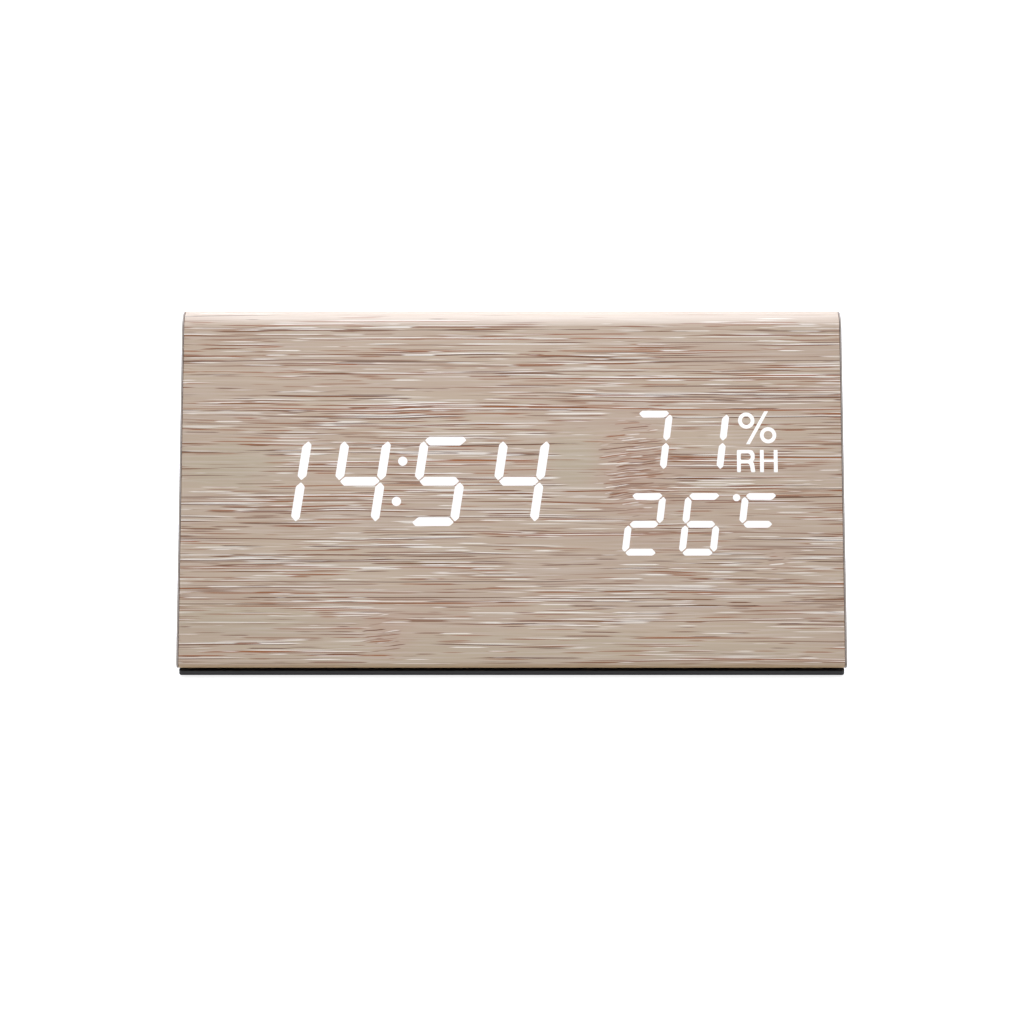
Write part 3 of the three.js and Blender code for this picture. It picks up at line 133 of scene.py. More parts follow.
# Where each bar lies, as shares of the digit's width and height, which way is outward, and its corner ends
BAR_SHARES = {
    "a": ((0, 0.5), (0, 1), (True, True)),
    "b": ((0.5, 0.25), (1, 0), (False, True)),
    "c": ((0.5, -0.25), (1, 0), (True, False)),
    "d": ((0, -0.5), (0, -1), (True, True)),
    "e": ((-0.5, -0.25), (-1, 0), (True, False)),
    "f": ((-0.5, 0.25), (-1, 0), (False, True)),
    "g": ((0, 0), (0, 1), (False, False)),
}
LIT_BARS = {"1": "bc", "2": "abged", "4": "fbgc", "5": "afgcd", "6": "afgecd", "7": "abc", "C": "afg"}
# How far a bar's tip stands out at a digit's corner, as a share of its thickness
TIP_SHARE = 0.1

# Other marks: places, diameters and bores of the round ones, and the ends of the stroke between the two rings
COLON_DIAMETER = 2.1
DEGREE = (50.64, 36.73, 1.65)
RINGS = ((53.04, 54.3), (57.94, 50.95))
RING_DIAMETERS = (3.7, 1.98)
SLASH = ((53.36, 48.89), (57.57, 56.44))
SLASH_WIDTH = 0.88

# Outlines of the letters R and H from their lower left corners, with the R's eye, and their corners' rounding
LETTERS = (
    ((50.83, 42.5), 0.3, (
        (0, 0), (0.86, 0), (0.86, 2.046), (2.55, 2.046), (2.9, 1.596), (3.18, 0), (4.14, 0), (3.84, 2.046),
        (3.55, 2.496), (4, 2.946), (4, 4.2), (3.5, 5), (2.8, 5.1), (0, 5.1))),
    ((50.83, 42.5), 0.3, (
        (0.86, 2.796), (2.65, 2.796), (3.12, 3.196), (3.12, 3.9), (2.65, 4.32), (0.86, 4.32))),
    ((56.03, 42.5), 0.08, (
        (0, 0), (0.86, 0), (0.86, 2.301), (3.12, 2.301), (3.12, 0), (3.98, 0), (3.98, 5.1), (3.12, 5.1),
        (3.12, 2.901), (0.86, 2.901), (0.86, 5.1), (0, 5.1))),
)
SHARP_ROUNDING = 0.08

# Levels out of the face: the lit marks' back and front, the ends of the guide's bars; then its sheet's sizes
LIT_LEVELS = (-0.05, 0.02)
GUIDE_END = -0.65
GUIDE_SHEET, GUIDE_MARGIN, GUIDE_CORNER = 0.8, 0.95, 0.8

# Base: a foot's rounded rim, the dish in its sole and where that ends; a screw's radii and its cross recess
FOOT_RIM, FOOT_DISH, FOOT_SHARES = 0.35, 0.15, (0.72, 0.78)
SCREW = {"head": 2.68, "shank": 1.42, "countersink": 1.45}
CROSS = {"half": 0.36, "reach": 1.45, "depth": 0.95, "side": 0.12, "end": 0.35}

# Buttons: radius of the cap and its flange, thickness of the flange, rounding of the rim, depth of the dish
BUTTON_RADIUS, FLANGE_RADIUS, FLANGE_SHEET = 3.0, 3.8, 1.0
BUTTON_RIM, BUTTON_DISH = 0.5, 0.16

# Rounding of the socket's edges, the rear panel's share of the plastic edge, and the shortest edges rounded
SOCKET_EDGE, SOCKET_SHORTEST = 0.08, 0.8
PANEL_EDGE_SHARE, PANEL_SHORTEST = 0.6, 1.0

# Battery contacts: height and thickness of their plate, width of their tab, and their springs and domes
CONTACT_HEIGHT, CONTACT_SHEET, CONTACT_TAB = 8.4, 0.4, 2.6
SPRING = {"root": 7.2, "tip": 4.4, "wire": 0.6, "turns": 2.5, "reach": 3.0, "rising": 0.82}
DOME_REACH = 3.4

# Battery cells: radius of the can and of the nub, length of the nub, how far the film leaves the ends bare,
# and where its silver end starts
CELL_RADIUS, NUB_RADIUS, NUB_LENGTH = 5.25, 1.9, 1.0
BARE_END, SILVER_START = 1.3, 12.0


# Places on the casing

def arc(centre, radius, start, end, steps):
    """Points on a circle: centre plus radius times the cosine and sine of an angle, from start to end."""
    angle = np.linspace(start, end, steps + 1)[:, None]
    return centre + radius * np.concatenate([np.cos(angle), np.sin(angle)], axis=1)


def half_section(inset):
    """Depth and height down the rear half, from the ridge to the corner: two arcs, both set in by inset."""
    ridge = arc(RIDGE_CENTRE, RIDGE_RADIUS - inset, math.pi / 2, TILT, RIDGE_STEPS)
    corner = arc(CORNER_CENTRE, CORNER_RADIUS - inset, TILT, -math.pi / 2, CORNER_STEPS)
    return np.concatenate([ridge, corner])


def with_mirror(points):
    """The rear half's points and their mirror image, from the front's last point to the rear's last."""
    return np.concatenate([(points * [-1, 1])[::-1], points[1:]])


def carried(stations, section):
    """Rings of a section that is carried across the clock, at each station set in by the station's inset."""
    loops = [(x, section(inset)) for x, inset in stations]
    return np.array([np.column_stack([np.full(len(loop), x), loop]) for x, loop in loops])


def across_grain(depth, height):
    """Distance over the surface from the ridge line, the front negative: ridge arc, slope, corner arc."""
    near = np.abs(depth)
    down = (near - FACE_HEAD[0]) * NORMAL[1] - (height - FACE_HEAD[1]) * NORMAL[0]
    ridge = RIDGE_RADIUS * np.arctan2(near, np.maximum(height - RIDGE_CENTRE[1], 1e-6))
    turn = TILT - np.arctan2(height - CORNER_CENTRE[1], near - CORNER_CENTRE[0])
    corner = RIDGE_ARC + FACE_LENGTH + CORNER_RADIUS * np.clip(turn, 0, TILT + math.pi / 2)
    under = np.maximum(CORNER_CENTRE[0] - near, 0)
    slope = RIDGE_ARC + down
    distance = np.where(down < 0, ridge, np.where(down > FACE_LENGTH, corner + under, slope))
    return distance * np.where(depth < 0, -1, 1)


def on_face(points, rear=False):
    """Face places (across, up the slope, outward) as places in the clock, on the front or the rear slope."""
    across, up, out = np.asarray(points, float).T
    depth = FACE_FOOT[0] - up * NORMAL[1] + out * NORMAL[0]
    height = FACE_FOOT[1] + up * NORMAL[0] + out * NORMAL[1]
    side = 1 if rear else -1
    return np.stack([-across * side, depth * side, height], axis=1)


def node_on_face(node_name, rear=False):
    """A construction node's points as face places: the reverse of on_face."""
    across, depth, height = vectors(frame["nodes"][node_name].data.vertices, "co").T / MM
    side = 1 if rear else -1
    back, rise = depth * side - FACE_FOOT[0], height - FACE_FOOT[1]
    up, out = rise * NORMAL[0] - back * NORMAL[1], back * NORMAL[0] + rise * NORMAL[1]
    return np.stack([-across * side, up, out], axis=1)


# Meshes

# Points that are nearer than this, in metres, become one: in built forms, flat shapes and construction nodes
FORM_MERGE, FLAT_MERGE, NODE_MERGE = 1e-6, 1e-7, 2e-6
# Angles in degrees past which shading breaks, on built and on eased forms, and past which an edge is eased
FORM_SHARP, EASED_SHARP, EASED_FROM = 35, 40, 30
# Radius of the small hole that a turned form keeps at its axis, closed by its cap
AXIS = 0.001


def add_object(name, mesh, *materials):
    """Links a new object at the origin, with its materials."""
    made = bpy.data.objects.new(name, mesh)
    bpy.context.scene.collection.objects.link(made)
    for material in materials:
        mesh.materials.append(material)
    return made


def finish_piece(piece, body, slot_name, *nodes):
    """Lets a piece ride on its body and hides the construction nodes it stands for; slot_name is not used."""
    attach(piece, body)
    if nodes:
        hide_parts(*nodes)


def add_piece(name, mesh, body, slot_name, *nodes, finishes=()):
    """Adds a finished piece in the finish of its slot, or in the finishes that are named."""
    piece = add_object(name, mesh, *(finish_of(finish) for finish in finishes or (slot_name,)))
    finish_piece(piece, body, slot_name, *nodes)


def add_ringed(node_name, ending, rings, body, slot_name):
    """Adds the closed form of the rings as the finished piece for a construction node."""
    add_piece(node_name + ending, closed_mesh(node_name, *ringed(rings)), body, slot_name, node_name)


def vectors(parts, name):
    """A vector of every point or face of a mesh, such as its place, as an array."""
    values = np.empty(len(parts) * 3)
    parts.foreach_get(name, values)
    return values.reshape(-1, 3)


def shade(mesh, angle):
    """Smooth shading, kept sharp where faces meet at more than angle degrees."""
    mesh.polygons.foreach_set("use_smooth", np.ones(len(mesh.polygons), bool))
    mesh.set_sharp_from_angle(angle=math.radians(angle))


def merge_doubles(mesh, distance):
    """Merges the mesh's doubles and turns every face outward."""
    work = bmesh.new()
    work.from_mesh(mesh)
    bmesh.ops.remove_doubles(work, verts=work.verts, dist=distance)
    bmesh.ops.recalc_face_normals(work, faces=work.faces)
    work.to_mesh(mesh)
    work.free()
    mesh.update()


def closed_mesh(name, points, faces):
    """A mesh in metres from points in millimetres, with doubles merged and every face turned outward."""
    mesh = bpy.data.meshes.new(name)
    mesh.from_pydata(np.asarray(points) * MM, [], faces)
    merge_doubles(mesh, FORM_MERGE)
    shade(mesh, FORM_SHARP)
    return mesh


def grid_faces(rows, columns):
    """Quads between neighbouring rows of points, each row a closed ring."""
    row, column = np.meshgrid(np.arange(rows - 1), np.arange(columns), indexing="ij")
    after = (column + 1) % columns
    quads = np.stack([row * columns + column, row * columns + after,
                      (row + 1) * columns + after, (row + 1) * columns + column], axis=-1)
    return quads.reshape(-1, 4).tolist()


def ringed(rings):
    """Points and faces of a closed form: rings of points in rows, with a flat cap on the first and last."""
    rings = np.asarray(rings, float)
    rows, columns = rings.shape[:2]
    caps = [list(range(columns)), list(range((rows - 1) * columns, rows * columns))]
    return rings.reshape(-1, 3), grid_faces(rows, columns) + caps


def turned(profile, sides):
    """Rings of a turned form: each profile point's radius times an angle's cosine and sine, at its height."""
    angle = np.linspace(0, 2 * math.pi, sides, endpoint=False)
    radius, height = np.asarray(profile, float).T
    circle = np.stack([np.cos(angle), np.sin(angle)], axis=-1)
    flat = radius[:, None, None] * circle[None]
    return np.concatenate([flat, np.broadcast_to(height[:, None, None], (len(height), sides, 1))], axis=-1)


def rounded_outline(points, radius, steps=5):
    """An outline with curved corners: from radius before each corner to radius past it, pulled to it."""
    points = np.asarray(points, float)
    share = np.linspace(0, 1, steps + 1)[:, None]
    result = []
    for before, corner, after in zip(np.roll(points, 1, axis=0), points, np.roll(points, -1, axis=0)):
        lengths = [np.linalg.norm(other - corner) for other in (before, after)]
        start, end = (corner + (other - corner) / length * min(radius, length * 0.45)
                      for other, length in zip((before, after), lengths))
        result.append(start * (1 - share) ** 2 + corner * 2 * share * (1 - share) + end * share ** 2)
    return np.concatenate(result)


def circle_outline(x, y, diameter, sides=40):
    """Centre plus half the diameter times the cosine and sine of an angle."""
    return arc((x, y), diameter / 2, 0, 2 * math.pi, sides)[:-1]


def flat_shapes(name, outlines, low, high):
    """Flat shapes between two levels, and their places in millimetres. An outline in another is a hole."""
    curve = bpy.data.curves.new(name, "CURVE")
    curve.dimensions = "2D"
    curve.fill_mode = "BOTH"
    curve.extrude = (high - low) / 2
    for points in outlines:
        spline = curve.splines.new("POLY")
        spline.points.add(len(points) - 1)
        flat = np.column_stack([points, np.zeros(len(points)), np.ones(len(points))])
        spline.points.foreach_set("co", flat.ravel())
        spline.use_cyclic_u = True
    carrier = bpy.data.objects.new(name, curve)
    mesh = bpy.data.meshes.new_from_object(carrier)
    bpy.data.objects.remove(carrier)
    bpy.data.curves.remove(curve)
    return mesh, vectors(mesh.vertices, "co") + [0, 0, (high + low) / 2]


def on_slope(name, outlines, low, high, rear=False):
    """Flat shapes set on a slope of the casing, merged into one closed mesh."""
    mesh, places = flat_shapes(name, outlines, low, high)
    mesh.vertices.foreach_set("co", (on_face(places, rear) * MM).ravel())
    merge_doubles(mesh, FLAT_MERGE)
    return mesh


def add_eased(name, node_name, body, slot_name, width, shortest=2.0):
    """Adds a construction node's form as a finished piece: flat faces joined, long outer edges rounded.

    Its large flat faces give the shading at the rounded edges beside them.
    """
    work = bmesh.new()
    work.from_mesh(frame["nodes"][node_name].data)
    bmesh.ops.remove_doubles(work, verts=work.verts, dist=NODE_MERGE)
    bmesh.ops.dissolve_limit(work, angle_limit=math.radians(1), verts=work.verts, edges=work.edges)
    edges = [edge for edge in work.edges if len(edge.link_faces) == 2 and edge.calc_length() > shortest * MM
             and edge.calc_face_angle_signed() > math.radians(EASED_FROM)]
    bmesh.ops.bevel(work, geom=edges, offset=width * MM, segments=3, affect="EDGES", profile=0.5,
                    clamp_overlap=True)
    mesh = bpy.data.meshes.new(node_name)
    work.to_mesh(mesh)
    work.free()
    shade(mesh, EASED_SHARP)
    piece = add_object(name, mesh, finish_of(slot_name))
    even = piece.modifiers.new("even shading", "WEIGHTED_NORMAL")
    even.weight = 100
    even.keep_sharp = True
    finish_piece(piece, body, slot_name, node_name)


def set_grain(mesh, places):
    """Stores each point's place along and across the grain, in metres, and in which fold of the wood it lies.

    The fold's value is a millimetre at the lower corners, minus a millimetre on the ridge, where a highlight
    is painted, and nothing elsewhere.
    """
    layer = mesh.attributes.new("grain", "FLOAT_VECTOR", "POINT")
    layer.data.foreach_set("vector", np.ascontiguousarray(places, np.float32).ravel())


# Materials

def feed(node, inputs):
    """Gives a node's inputs their plain values, or the sockets that feed them."""
    for key, value in inputs.items():
        if isinstance(value, bpy.types.NodeSocket):
            node.id_data.links.new(value, node.inputs[key])
        else:
            node.inputs[key].default_value = value


def add(tree, kind, inputs=None, output=0, **settings):
    """Adds a shader node with its settings and inputs, and gives one of its outputs, or the node itself."""
    made = tree.nodes.new("ShaderNode" + kind)
    for name, value in settings.items():
        setattr(made, name, value)
    feed(made, inputs or {})
    return made if output is None else made.outputs[output]


def start_material(name, hex_colour, roughness, inputs=None):
    """A new material and its shader, with the values that are the same all over set on the shader itself."""
    material = bpy.data.materials.new(name)
    material.use_nodes = True
    material.diffuse_color = linear(hex_colour)
    shader = material.node_tree.nodes["Principled BSDF"]
    feed(shader, {"Base Color": linear(hex_colour), "Roughness": roughness, **(inputs or {})})
    return material, material.node_tree, shader


def painted(tree, ground, coats):
    """A ground colour under coats, each given by how much of it is there and its colour."""
    for share, tone in coats:
        ground = add(tree, "Mix", {0: share, 6: ground, 7: tone}, output=2, data_type="RGBA")
    return ground


def spots(tree, size, detail):
    """Soft noise in the piece's own coordinates, whose spots are size millimetres."""
    place = add(tree, "TexCoord", output="Object")
    return add(tree, "TexNoise", {"Vector": place, "Scale": 1 / (size * MM), "Detail": detail})


def stretched_spots(tree, place, run, pitch, detail=2.0):
    """Soft noise whose spots are run by pitch millimetres."""
    spot = add(tree, "VectorMath", {0: place, 1: (1 / run, 1 / pitch, 0)}, operation="MULTIPLY")
    return add(tree, "TexNoise", {"Vector": spot, "Scale": 1.0, "Detail": detail}, noise_dimensions="2D")


def nearness(tree, place, ragged, patches):
    """Nearness to the nearest patch: its strength in its middle, nothing past its edge, broken by ragged."""
    nearest = None
    for (along, across), (wide, high), strength in patches:
        scaled = add(tree, "VectorMath", {0: place, 1: (1 / wide, 1 / high, 0),
                     2: (-along / wide, -across / high, 0)}, operation="MULTIPLY_ADD")
        far = add(tree, "VectorMath", {0: scaled}, output="Value", operation="LENGTH")
        far = add(tree, "Math", {0: ragged, 1: PATCH_RAGGED, 2: far}, operation="MULTIPLY_ADD")
        near = add(tree, "MapRange", {"Value": far, 1: PATCH_END, 2: PATCH_FULL, 4: strength},
                   interpolation_type="SMOOTHSTEP")
        nearest = add(tree, "Math", {0: near, 1: nearest}, operation="MAXIMUM") if nearest else near
    return nearest


def from_edge(up):
    """A height up the front face as its place across the grain, which counts from the ridge."""
    return -(RIDGE_ARC + FACE_LENGTH - up)


# Nodes of the cane, and calm stretches between its fibres: places along and across the grain, half sizes,
# strengths
NODE_PATCHES = (
    ((28.0, from_edge(42.5)), (12.0, 17.0), 1.0),
    ((-27.7, from_edge(5.5)), (8.0, 8.0), 0.82),
    ((59.8, from_edge(22.2)), (4.5, 3.0), 0.75),
    ((-41.0, 33.0), (9.0, 9.0), 0.95),
    ((38.0, 66.0), (7.0, 9.0), 0.9),
)
CALM_PATCHES = (
    ((-64.0, from_edge(44.0)), (18.0, 7.5), 0.95),
    ((0.0, from_edge(2.5)), (90.0, 5.0), 0.6),
    ((-60.0, from_edge(9.0)), (26.0, 6.0), 0.75),
    ((14.0, from_edge(45.0)), (9.0, 8.0), 1.0),
    ((-30.0, 52.0), (30.0, 6.0), 1.0),
    ((40.0, 20.0), (25.0, 5.0), 1.0),
)
# How far out a patch ends and is full, in half sizes, and how much of that its ragged edge takes
PATCH_END, PATCH_FULL, PATCH_RAGGED = 1.5, 0.7, 0.9

# Fibres by layer: the length of the noise that starts and ends them, the pitch of their rows, a seed, the
# level that the noise passes where there is a fibre, its full thickness, whether it is dark, the share of the
# faintest, how much they follow the wave, whether they belong to the nodes, and a shift along and across
FIBRE_KEYS = ("run", "pitch", "seed", "level", "thick", "dark", "faintest", "wave", "at_node", "shift")
FIBRE_LAYERS = [dict(zip(FIBRE_KEYS, values)) for values in (
    (44.0, 0.44, 1.0, 0.518, 0.29, True, 0.6, 1.0, False, (0.0, 0.0)),
    # Pale lines 0.24 mm beside the first layer's dark fibres: a painted highlight on the edge of their relief
    (44.0, 0.44, 1.0, 0.56, 0.26, False, 0.6, 1.0, False, (4.0, 0.24)),
    (27.0, 0.5, 3.9, 0.518, 0.29, True, 0.6, 0.6, False, (0.0, 0.0)),
    (24.0, 0.55, 5.1, 0.555, 0.25, False, 0.6, -0.5, False, (0.0, 0.0)),
    (90.0, 1.2, 7.1, 0.52, 0.28, True, 0.7, 1.2, False, (0.0, 0.0)),
    (15.0, 0.6, 6.2, 0.54, 0.29, True, 0.5, 0.8, False, (0.0, 0.0)),
    (13.0, 0.8, 4.6, 0.555, 0.27, False, 0.5, 0.3, False, (0.0, 0.0)),
    (11.0, 0.4, 8.3, 0.44, 0.28, True, 0.3, 1.0, True, (0.0, 0.0)),
    (7.0, 0.6, 9.9, 0.5, 0.25, False, 0.3, 1.0, True, (0.0, 0.0)),
)]
# The layers with this seed also lie deeper in the relief of the brushed face
RELIEF_SEED = 1.0
# Shift of a layer's rows by its seed, and how far apart the rows may lie in the noise
ROW_START, ROW_SPREAD = 1.7, 57.0
# Soft side of a fibre, in millimetres, and how far above its level the noise is where it is at its thickest
STROKE_EDGE, STROKE_TAPER = 0.06, 0.11
# Degrees that the fibres lean at a node
NODE_LEAN = -6.0
# How much higher the level is in calm stretches, round nodes and on the ridge, and each one's share of colour
# On the ridge the higher level and the paler colour are a painted highlight
CALM_SHORTEN, NODE_SHORTEN, RIDGE_SHORTEN = 0.12, 0.1, 0.13
CALM_SHARE, NODE_SHARE, RIDGE_HIGHLIGHT_SHARE = 0.55, 0.5, 0.15


def strokes(tree, place, layer, shorten):
    """Long thin strokes with tapered ends, in rows a pitch apart.

    Each row has its centre line at a random height in its middle half, and its own soft noise along the
    grain. A stroke lies on the line where the noise is above a level, and its half thickness grows with how
    far above, up to half of thick. shorten raises the level. Gives how much of a stroke is there and a random
    value for its tone.
    """
    run, pitch, seed, shift = (layer[key] for key in ("run", "pitch", "seed", "shift"))
    parts = add(tree, "SeparateXYZ", {0: place}, output=None)
    height = add(tree, "Math", {0: parts.outputs[1], 1: 1 / pitch, 2: seed * ROW_START - shift[1] / pitch},
                 operation="MULTIPLY_ADD")
    row = add(tree, "CombineXYZ", {"X": add(tree, "Math", {0: height}, operation="FLOOR"), "Y": seed})
    dice = add(tree, "TexWhiteNoise", {"Vector": row}, output="Color", noise_dimensions="2D")
    chances = add(tree, "SeparateColor", {0: dice}, output=None)
    middle = add(tree, "Math", {0: chances.outputs[0], 1: 0.5, 2: 0.25}, operation="MULTIPLY_ADD")
    inside = add(tree, "Math", {0: height}, operation="FRACT")
    aside = add(tree, "Math", {0: inside, 1: middle}, operation="SUBTRACT")
    aside = add(tree, "Math", {0: aside}, operation="ABSOLUTE")

    along = add(tree, "Math", {0: parts.outputs[0], 1: 1 / run, 2: -shift[0] / run}, operation="MULTIPLY_ADD")
    along = add(tree, "CombineXYZ", {"X": along})
    spot = add(tree, "VectorMath", {0: dice, 1: (ROW_SPREAD, ROW_SPREAD, 0), 2: along},
               operation="MULTIPLY_ADD")
    level = add(tree, "TexNoise", {"Vector": spot, "Scale": 1.0, "Detail": 1.0}, noise_dimensions="2D")
    above = add(tree, "Math", {0: level, 1: shorten}, operation="SUBTRACT")
    half = add(tree, "MapRange", {"Value": above, 1: layer["level"], 2: layer["level"] + STROKE_TAPER,
               4: layer["thick"] / 2})
    inside = add(tree, "Math", {0: aside, 1: -pitch, 2: half}, operation="MULTIPLY_ADD")
    mask = add(tree, "MapRange", {"Value": inside, 2: STROKE_EDGE}, interpolation_type="SMOOTHSTEP")
    weight = add(tree, "MapRange", {"Value": chances.outputs[2], 3: layer["faintest"], 4: 1.0})
    return add(tree, "Math", {0: mask, 1: weight}, operation="MULTIPLY"), chances.outputs[1]


def bamboo():
    """Bamboo veneer, brushed and matt lacquered: pale taupe with dark and pale fibres that run the long way.

    The fibres are 0.25 to 0.29 mm thick, and the noise that starts and ends them repeats over 7 to 90 mm.
    Where the cane had a node they are short, wavy and red. On the ridge a highlight is painted: the wood is
    paler there and has fewer of them.
    """
    settings = bpy.context.scene.clock_colours
    tones = {name: tuple(getattr(settings, name)) for name in settings.__annotations__}
    material, tree, shader = start_material(
        "Bamboo veneer, brushed and lacquered", "#c0b0a0", 0.5,
        {"Specular IOR Level": 0.2, "Coat Weight": 0.5, "Coat Roughness": 0.28})
    grain = add(tree, "Attribute", output="Vector", attribute_name="grain")
    place = add(tree, "VectorMath", {0: grain, "Scale": 1 / MM}, operation="SCALE")
    fold = add(tree, "SeparateXYZ", {0: place}, output="Z")
    # The ridge's band, where a highlight is painted on the wood
    ridge = add(tree, "Math", {0: fold, 1: -1.0}, operation="MULTIPLY", use_clamp=True)
    ragged = stretched_spots(tree, place, 9, 1.2)
    node = nearness(tree, place, ragged, NODE_PATCHES)
    calm = nearness(tree, place, ragged, CALM_PATCHES)

    # The fibres curl by up to 0.5 mm at a node, and all of them wave by up to 0.8 mm
    curl = stretched_spots(tree, place, 10, 5)
    curl = add(tree, "Math", {0: curl, 1: 1.0, 2: -0.5}, operation="MULTIPLY_ADD")
    curl = add(tree, "Math", {0: curl, 1: node}, operation="MULTIPLY")
    curled = add(tree, "VectorMath", {0: add(tree, "CombineXYZ", {"Y": curl}), 1: place}, operation="ADD")
    wave = stretched_spots(tree, place, 60, 9)
    wave = add(tree, "Math", {0: wave, 1: 1.6, 2: -0.8}, operation="MULTIPLY_ADD")
    wave = add(tree, "CombineXYZ", {"Y": wave})
    waved = add(tree, "VectorMath", {0: curled, 1: wave}, operation="ADD")
    leaning = add(tree, "VectorRotate", {"Vector": curled, "Angle": math.radians(NODE_LEAN)},
                  rotation_type="Z_AXIS")

    # Fibres crowd together in places, and the ones of the nodes show nowhere else
    crowd = stretched_spots(tree, place, 60, 8)
    shorten = add(tree, "MapRange", {"Value": crowd, 1: 0.35, 2: 0.62, 3: 0.08, 4: 0.0})
    # Fewer fibres in calm stretches, round nodes and on the ridge, where they are part of the painted
    # highlight
    for near, by in ((calm, CALM_SHORTEN), (node, NODE_SHORTEN), (ridge, RIDGE_SHORTEN)):
        shorten = add(tree, "Math", {0: near, 1: by, 2: shorten}, operation="MULTIPLY_ADD")
    away = add(tree, "MapRange", {"Value": node, 3: 0.42, 4: -0.04})

    # Broad grey bands, calm and red ground, then pale streaks about half a millimetre apart
    broad = add(tree, "MapRange", {"Value": stretched_spots(tree, waved, 70, 4.5, 3.0), 1: 0.35, 2: 0.65})
    # Shares of calm and red ground, and of the highlight painted on the ridge
    quiet, red, ridge_highlight = (add(tree, "Math", {0: near, 1: share}, operation="MULTIPLY")
                          for near, share in ((calm, CALM_SHARE), (node, NODE_SHARE), (ridge, RIDGE_HIGHLIGHT_SHARE)))
    fine = stretched_spots(tree, waved, 22, 0.55, 3.0)
    streaks = add(tree, "MapRange", {"Value": fine, 1: 0.45, 2: 0.75, 4: 0.16})
    coats = [(broad, tones["wood_grey"]), (quiet, tones["wood_calm"]), (red, tones["wood_node"]),
             (streaks, tones["fibre_pale"])]
    height = fine
    for layer in FIBRE_LAYERS:
        under, fewer = (leaning, away) if layer["at_node"] else (curled, shorten)
        bent = add(tree, "VectorMath", {0: wave, 1: (0, layer["wave"], 0), 2: under},
                   operation="MULTIPLY_ADD")
        mask, chance = strokes(tree, bent, layer, fewer)
        tone = tones["fibre_pale"]
        if layer["dark"]:
            tone = painted(tree, tones["fibre_dark"], [(chance, tones["fibre_red"])])
        coats.append((mask, tone))
        if layer["seed"] == RELIEF_SEED:
            height = add(tree, "Math", {0: mask, 1: -0.5, 2: height}, operation="MULTIPLY_ADD")
    # Then the tan of the lower folds, and the painted highlight on the ridge in the pale colour
    coats += [(fold, tones["wood_fold"]), (ridge_highlight, tones["fibre_pale"])]

    rough = add(tree, "MapRange", {"Value": fine, 1: 0.3, 2: 0.7, 3: 0.42, 4: 0.58})
    bump = add(tree, "Bump", {"Height": height, "Strength": 0.3, "Distance": 0.05 * MM})
    feed(shader, {"Base Color": painted(tree, tones["wood"], coats), "Roughness": rough, "Normal": bump})
    return material


def open_wood(name, hex_colour, roughness, grain, detail, dark_hex, pale_hex):
    """Wood whose pores or fibres show as soft flecks.

    The veneer's cut edge is sealed and grey brown, because its end grain soaks up the lacquer. Sawn
    fibreboard is tan, with short fibres and a soft surface that isn't polished.
    """
    material, tree, shader = start_material(name, hex_colour, roughness)
    flecks = [(spots(tree, grain, detail), linear(pale_hex))]
    feed(shader, {"Base Color": painted(tree, linear(dark_hex), flecks)})
    return material


def moulded(name, hex_colour, roughness, spark, depth, gloss=0.5):
    """Moulded plastic or rubber: one colour, with the fine even texture that a spark-eroded mould leaves."""
    material, tree, shader = start_material(name, hex_colour, roughness, {"Specular IOR Level": gloss})
    rough = add(tree, "MapRange", {"Value": spots(tree, 14, 1.0), 1: 0.3, 2: 0.7,
                3: roughness - 0.06, 4: roughness + 0.06})
    bump = add(tree, "Bump", {"Height": spots(tree, spark, 2.0), "Strength": 0.4, "Distance": depth * MM})
    feed(shader, {"Roughness": rough, "Normal": bump})
    return material


def metal(name, hex_colour, roughness):
    """Plated steel: drawn and plated, with faint marks that spread the highlights."""
    material, tree, shader = start_material(name, hex_colour, roughness, {"Metallic": 1.0})
    feed(shader, {"Roughness": add(tree, "MapRange", {"Value": spots(tree, 0.8, 3.0), 1: 0.3, 2: 0.7,
                  3: roughness * 0.8, 4: roughness * 1.3})})
    return material


def circuit(name, hex_colour, dark_hex):
    """Glass fibre board under solder mask: the copper runs show as a slightly darker square pattern."""
    material, tree, shader = start_material(name, hex_colour, 0.45)
    runs = add(tree, "TexBrick", {"Vector": add(tree, "TexCoord", output="Object"), "Scale": 1 / (4 * MM),
               "Mortar Size": 0.05, "Color1": linear(hex_colour), "Color2": linear(hex_colour),
               "Mortar": linear(dark_hex)})
    feed(shader, {"Base Color": runs})
    return material


def lit_patch():
    """Light through thin veneer: what the wood reflects and what shines through it add up to even white."""
    return start_material("White light through veneer", "#c0b0a0", 0.6, {
        "Specular IOR Level": 0.0, "Emission Color": linear("#c4cdd6"), "Emission Strength": 1.0})[0]


def jacket():
    """Printed film shrunk on a steel can: glossy, plain blue with a silver end."""
    material, tree, shader = start_material("Shrunk film on a cell", "#3f6f9e", 0.3, {"Coat Weight": 0.5})
    grain = add(tree, "Attribute", output="Vector", attribute_name="grain")
    along = add(tree, "SeparateXYZ", {0: grain})
    band = add(tree, "Math", {0: along, 1: SILVER_START * MM}, operation="GREATER_THAN")
    feed(shader, {"Base Color": painted(tree, linear("#2f5f93"), [(band, linear("#c9ccd1"))])})
    return material


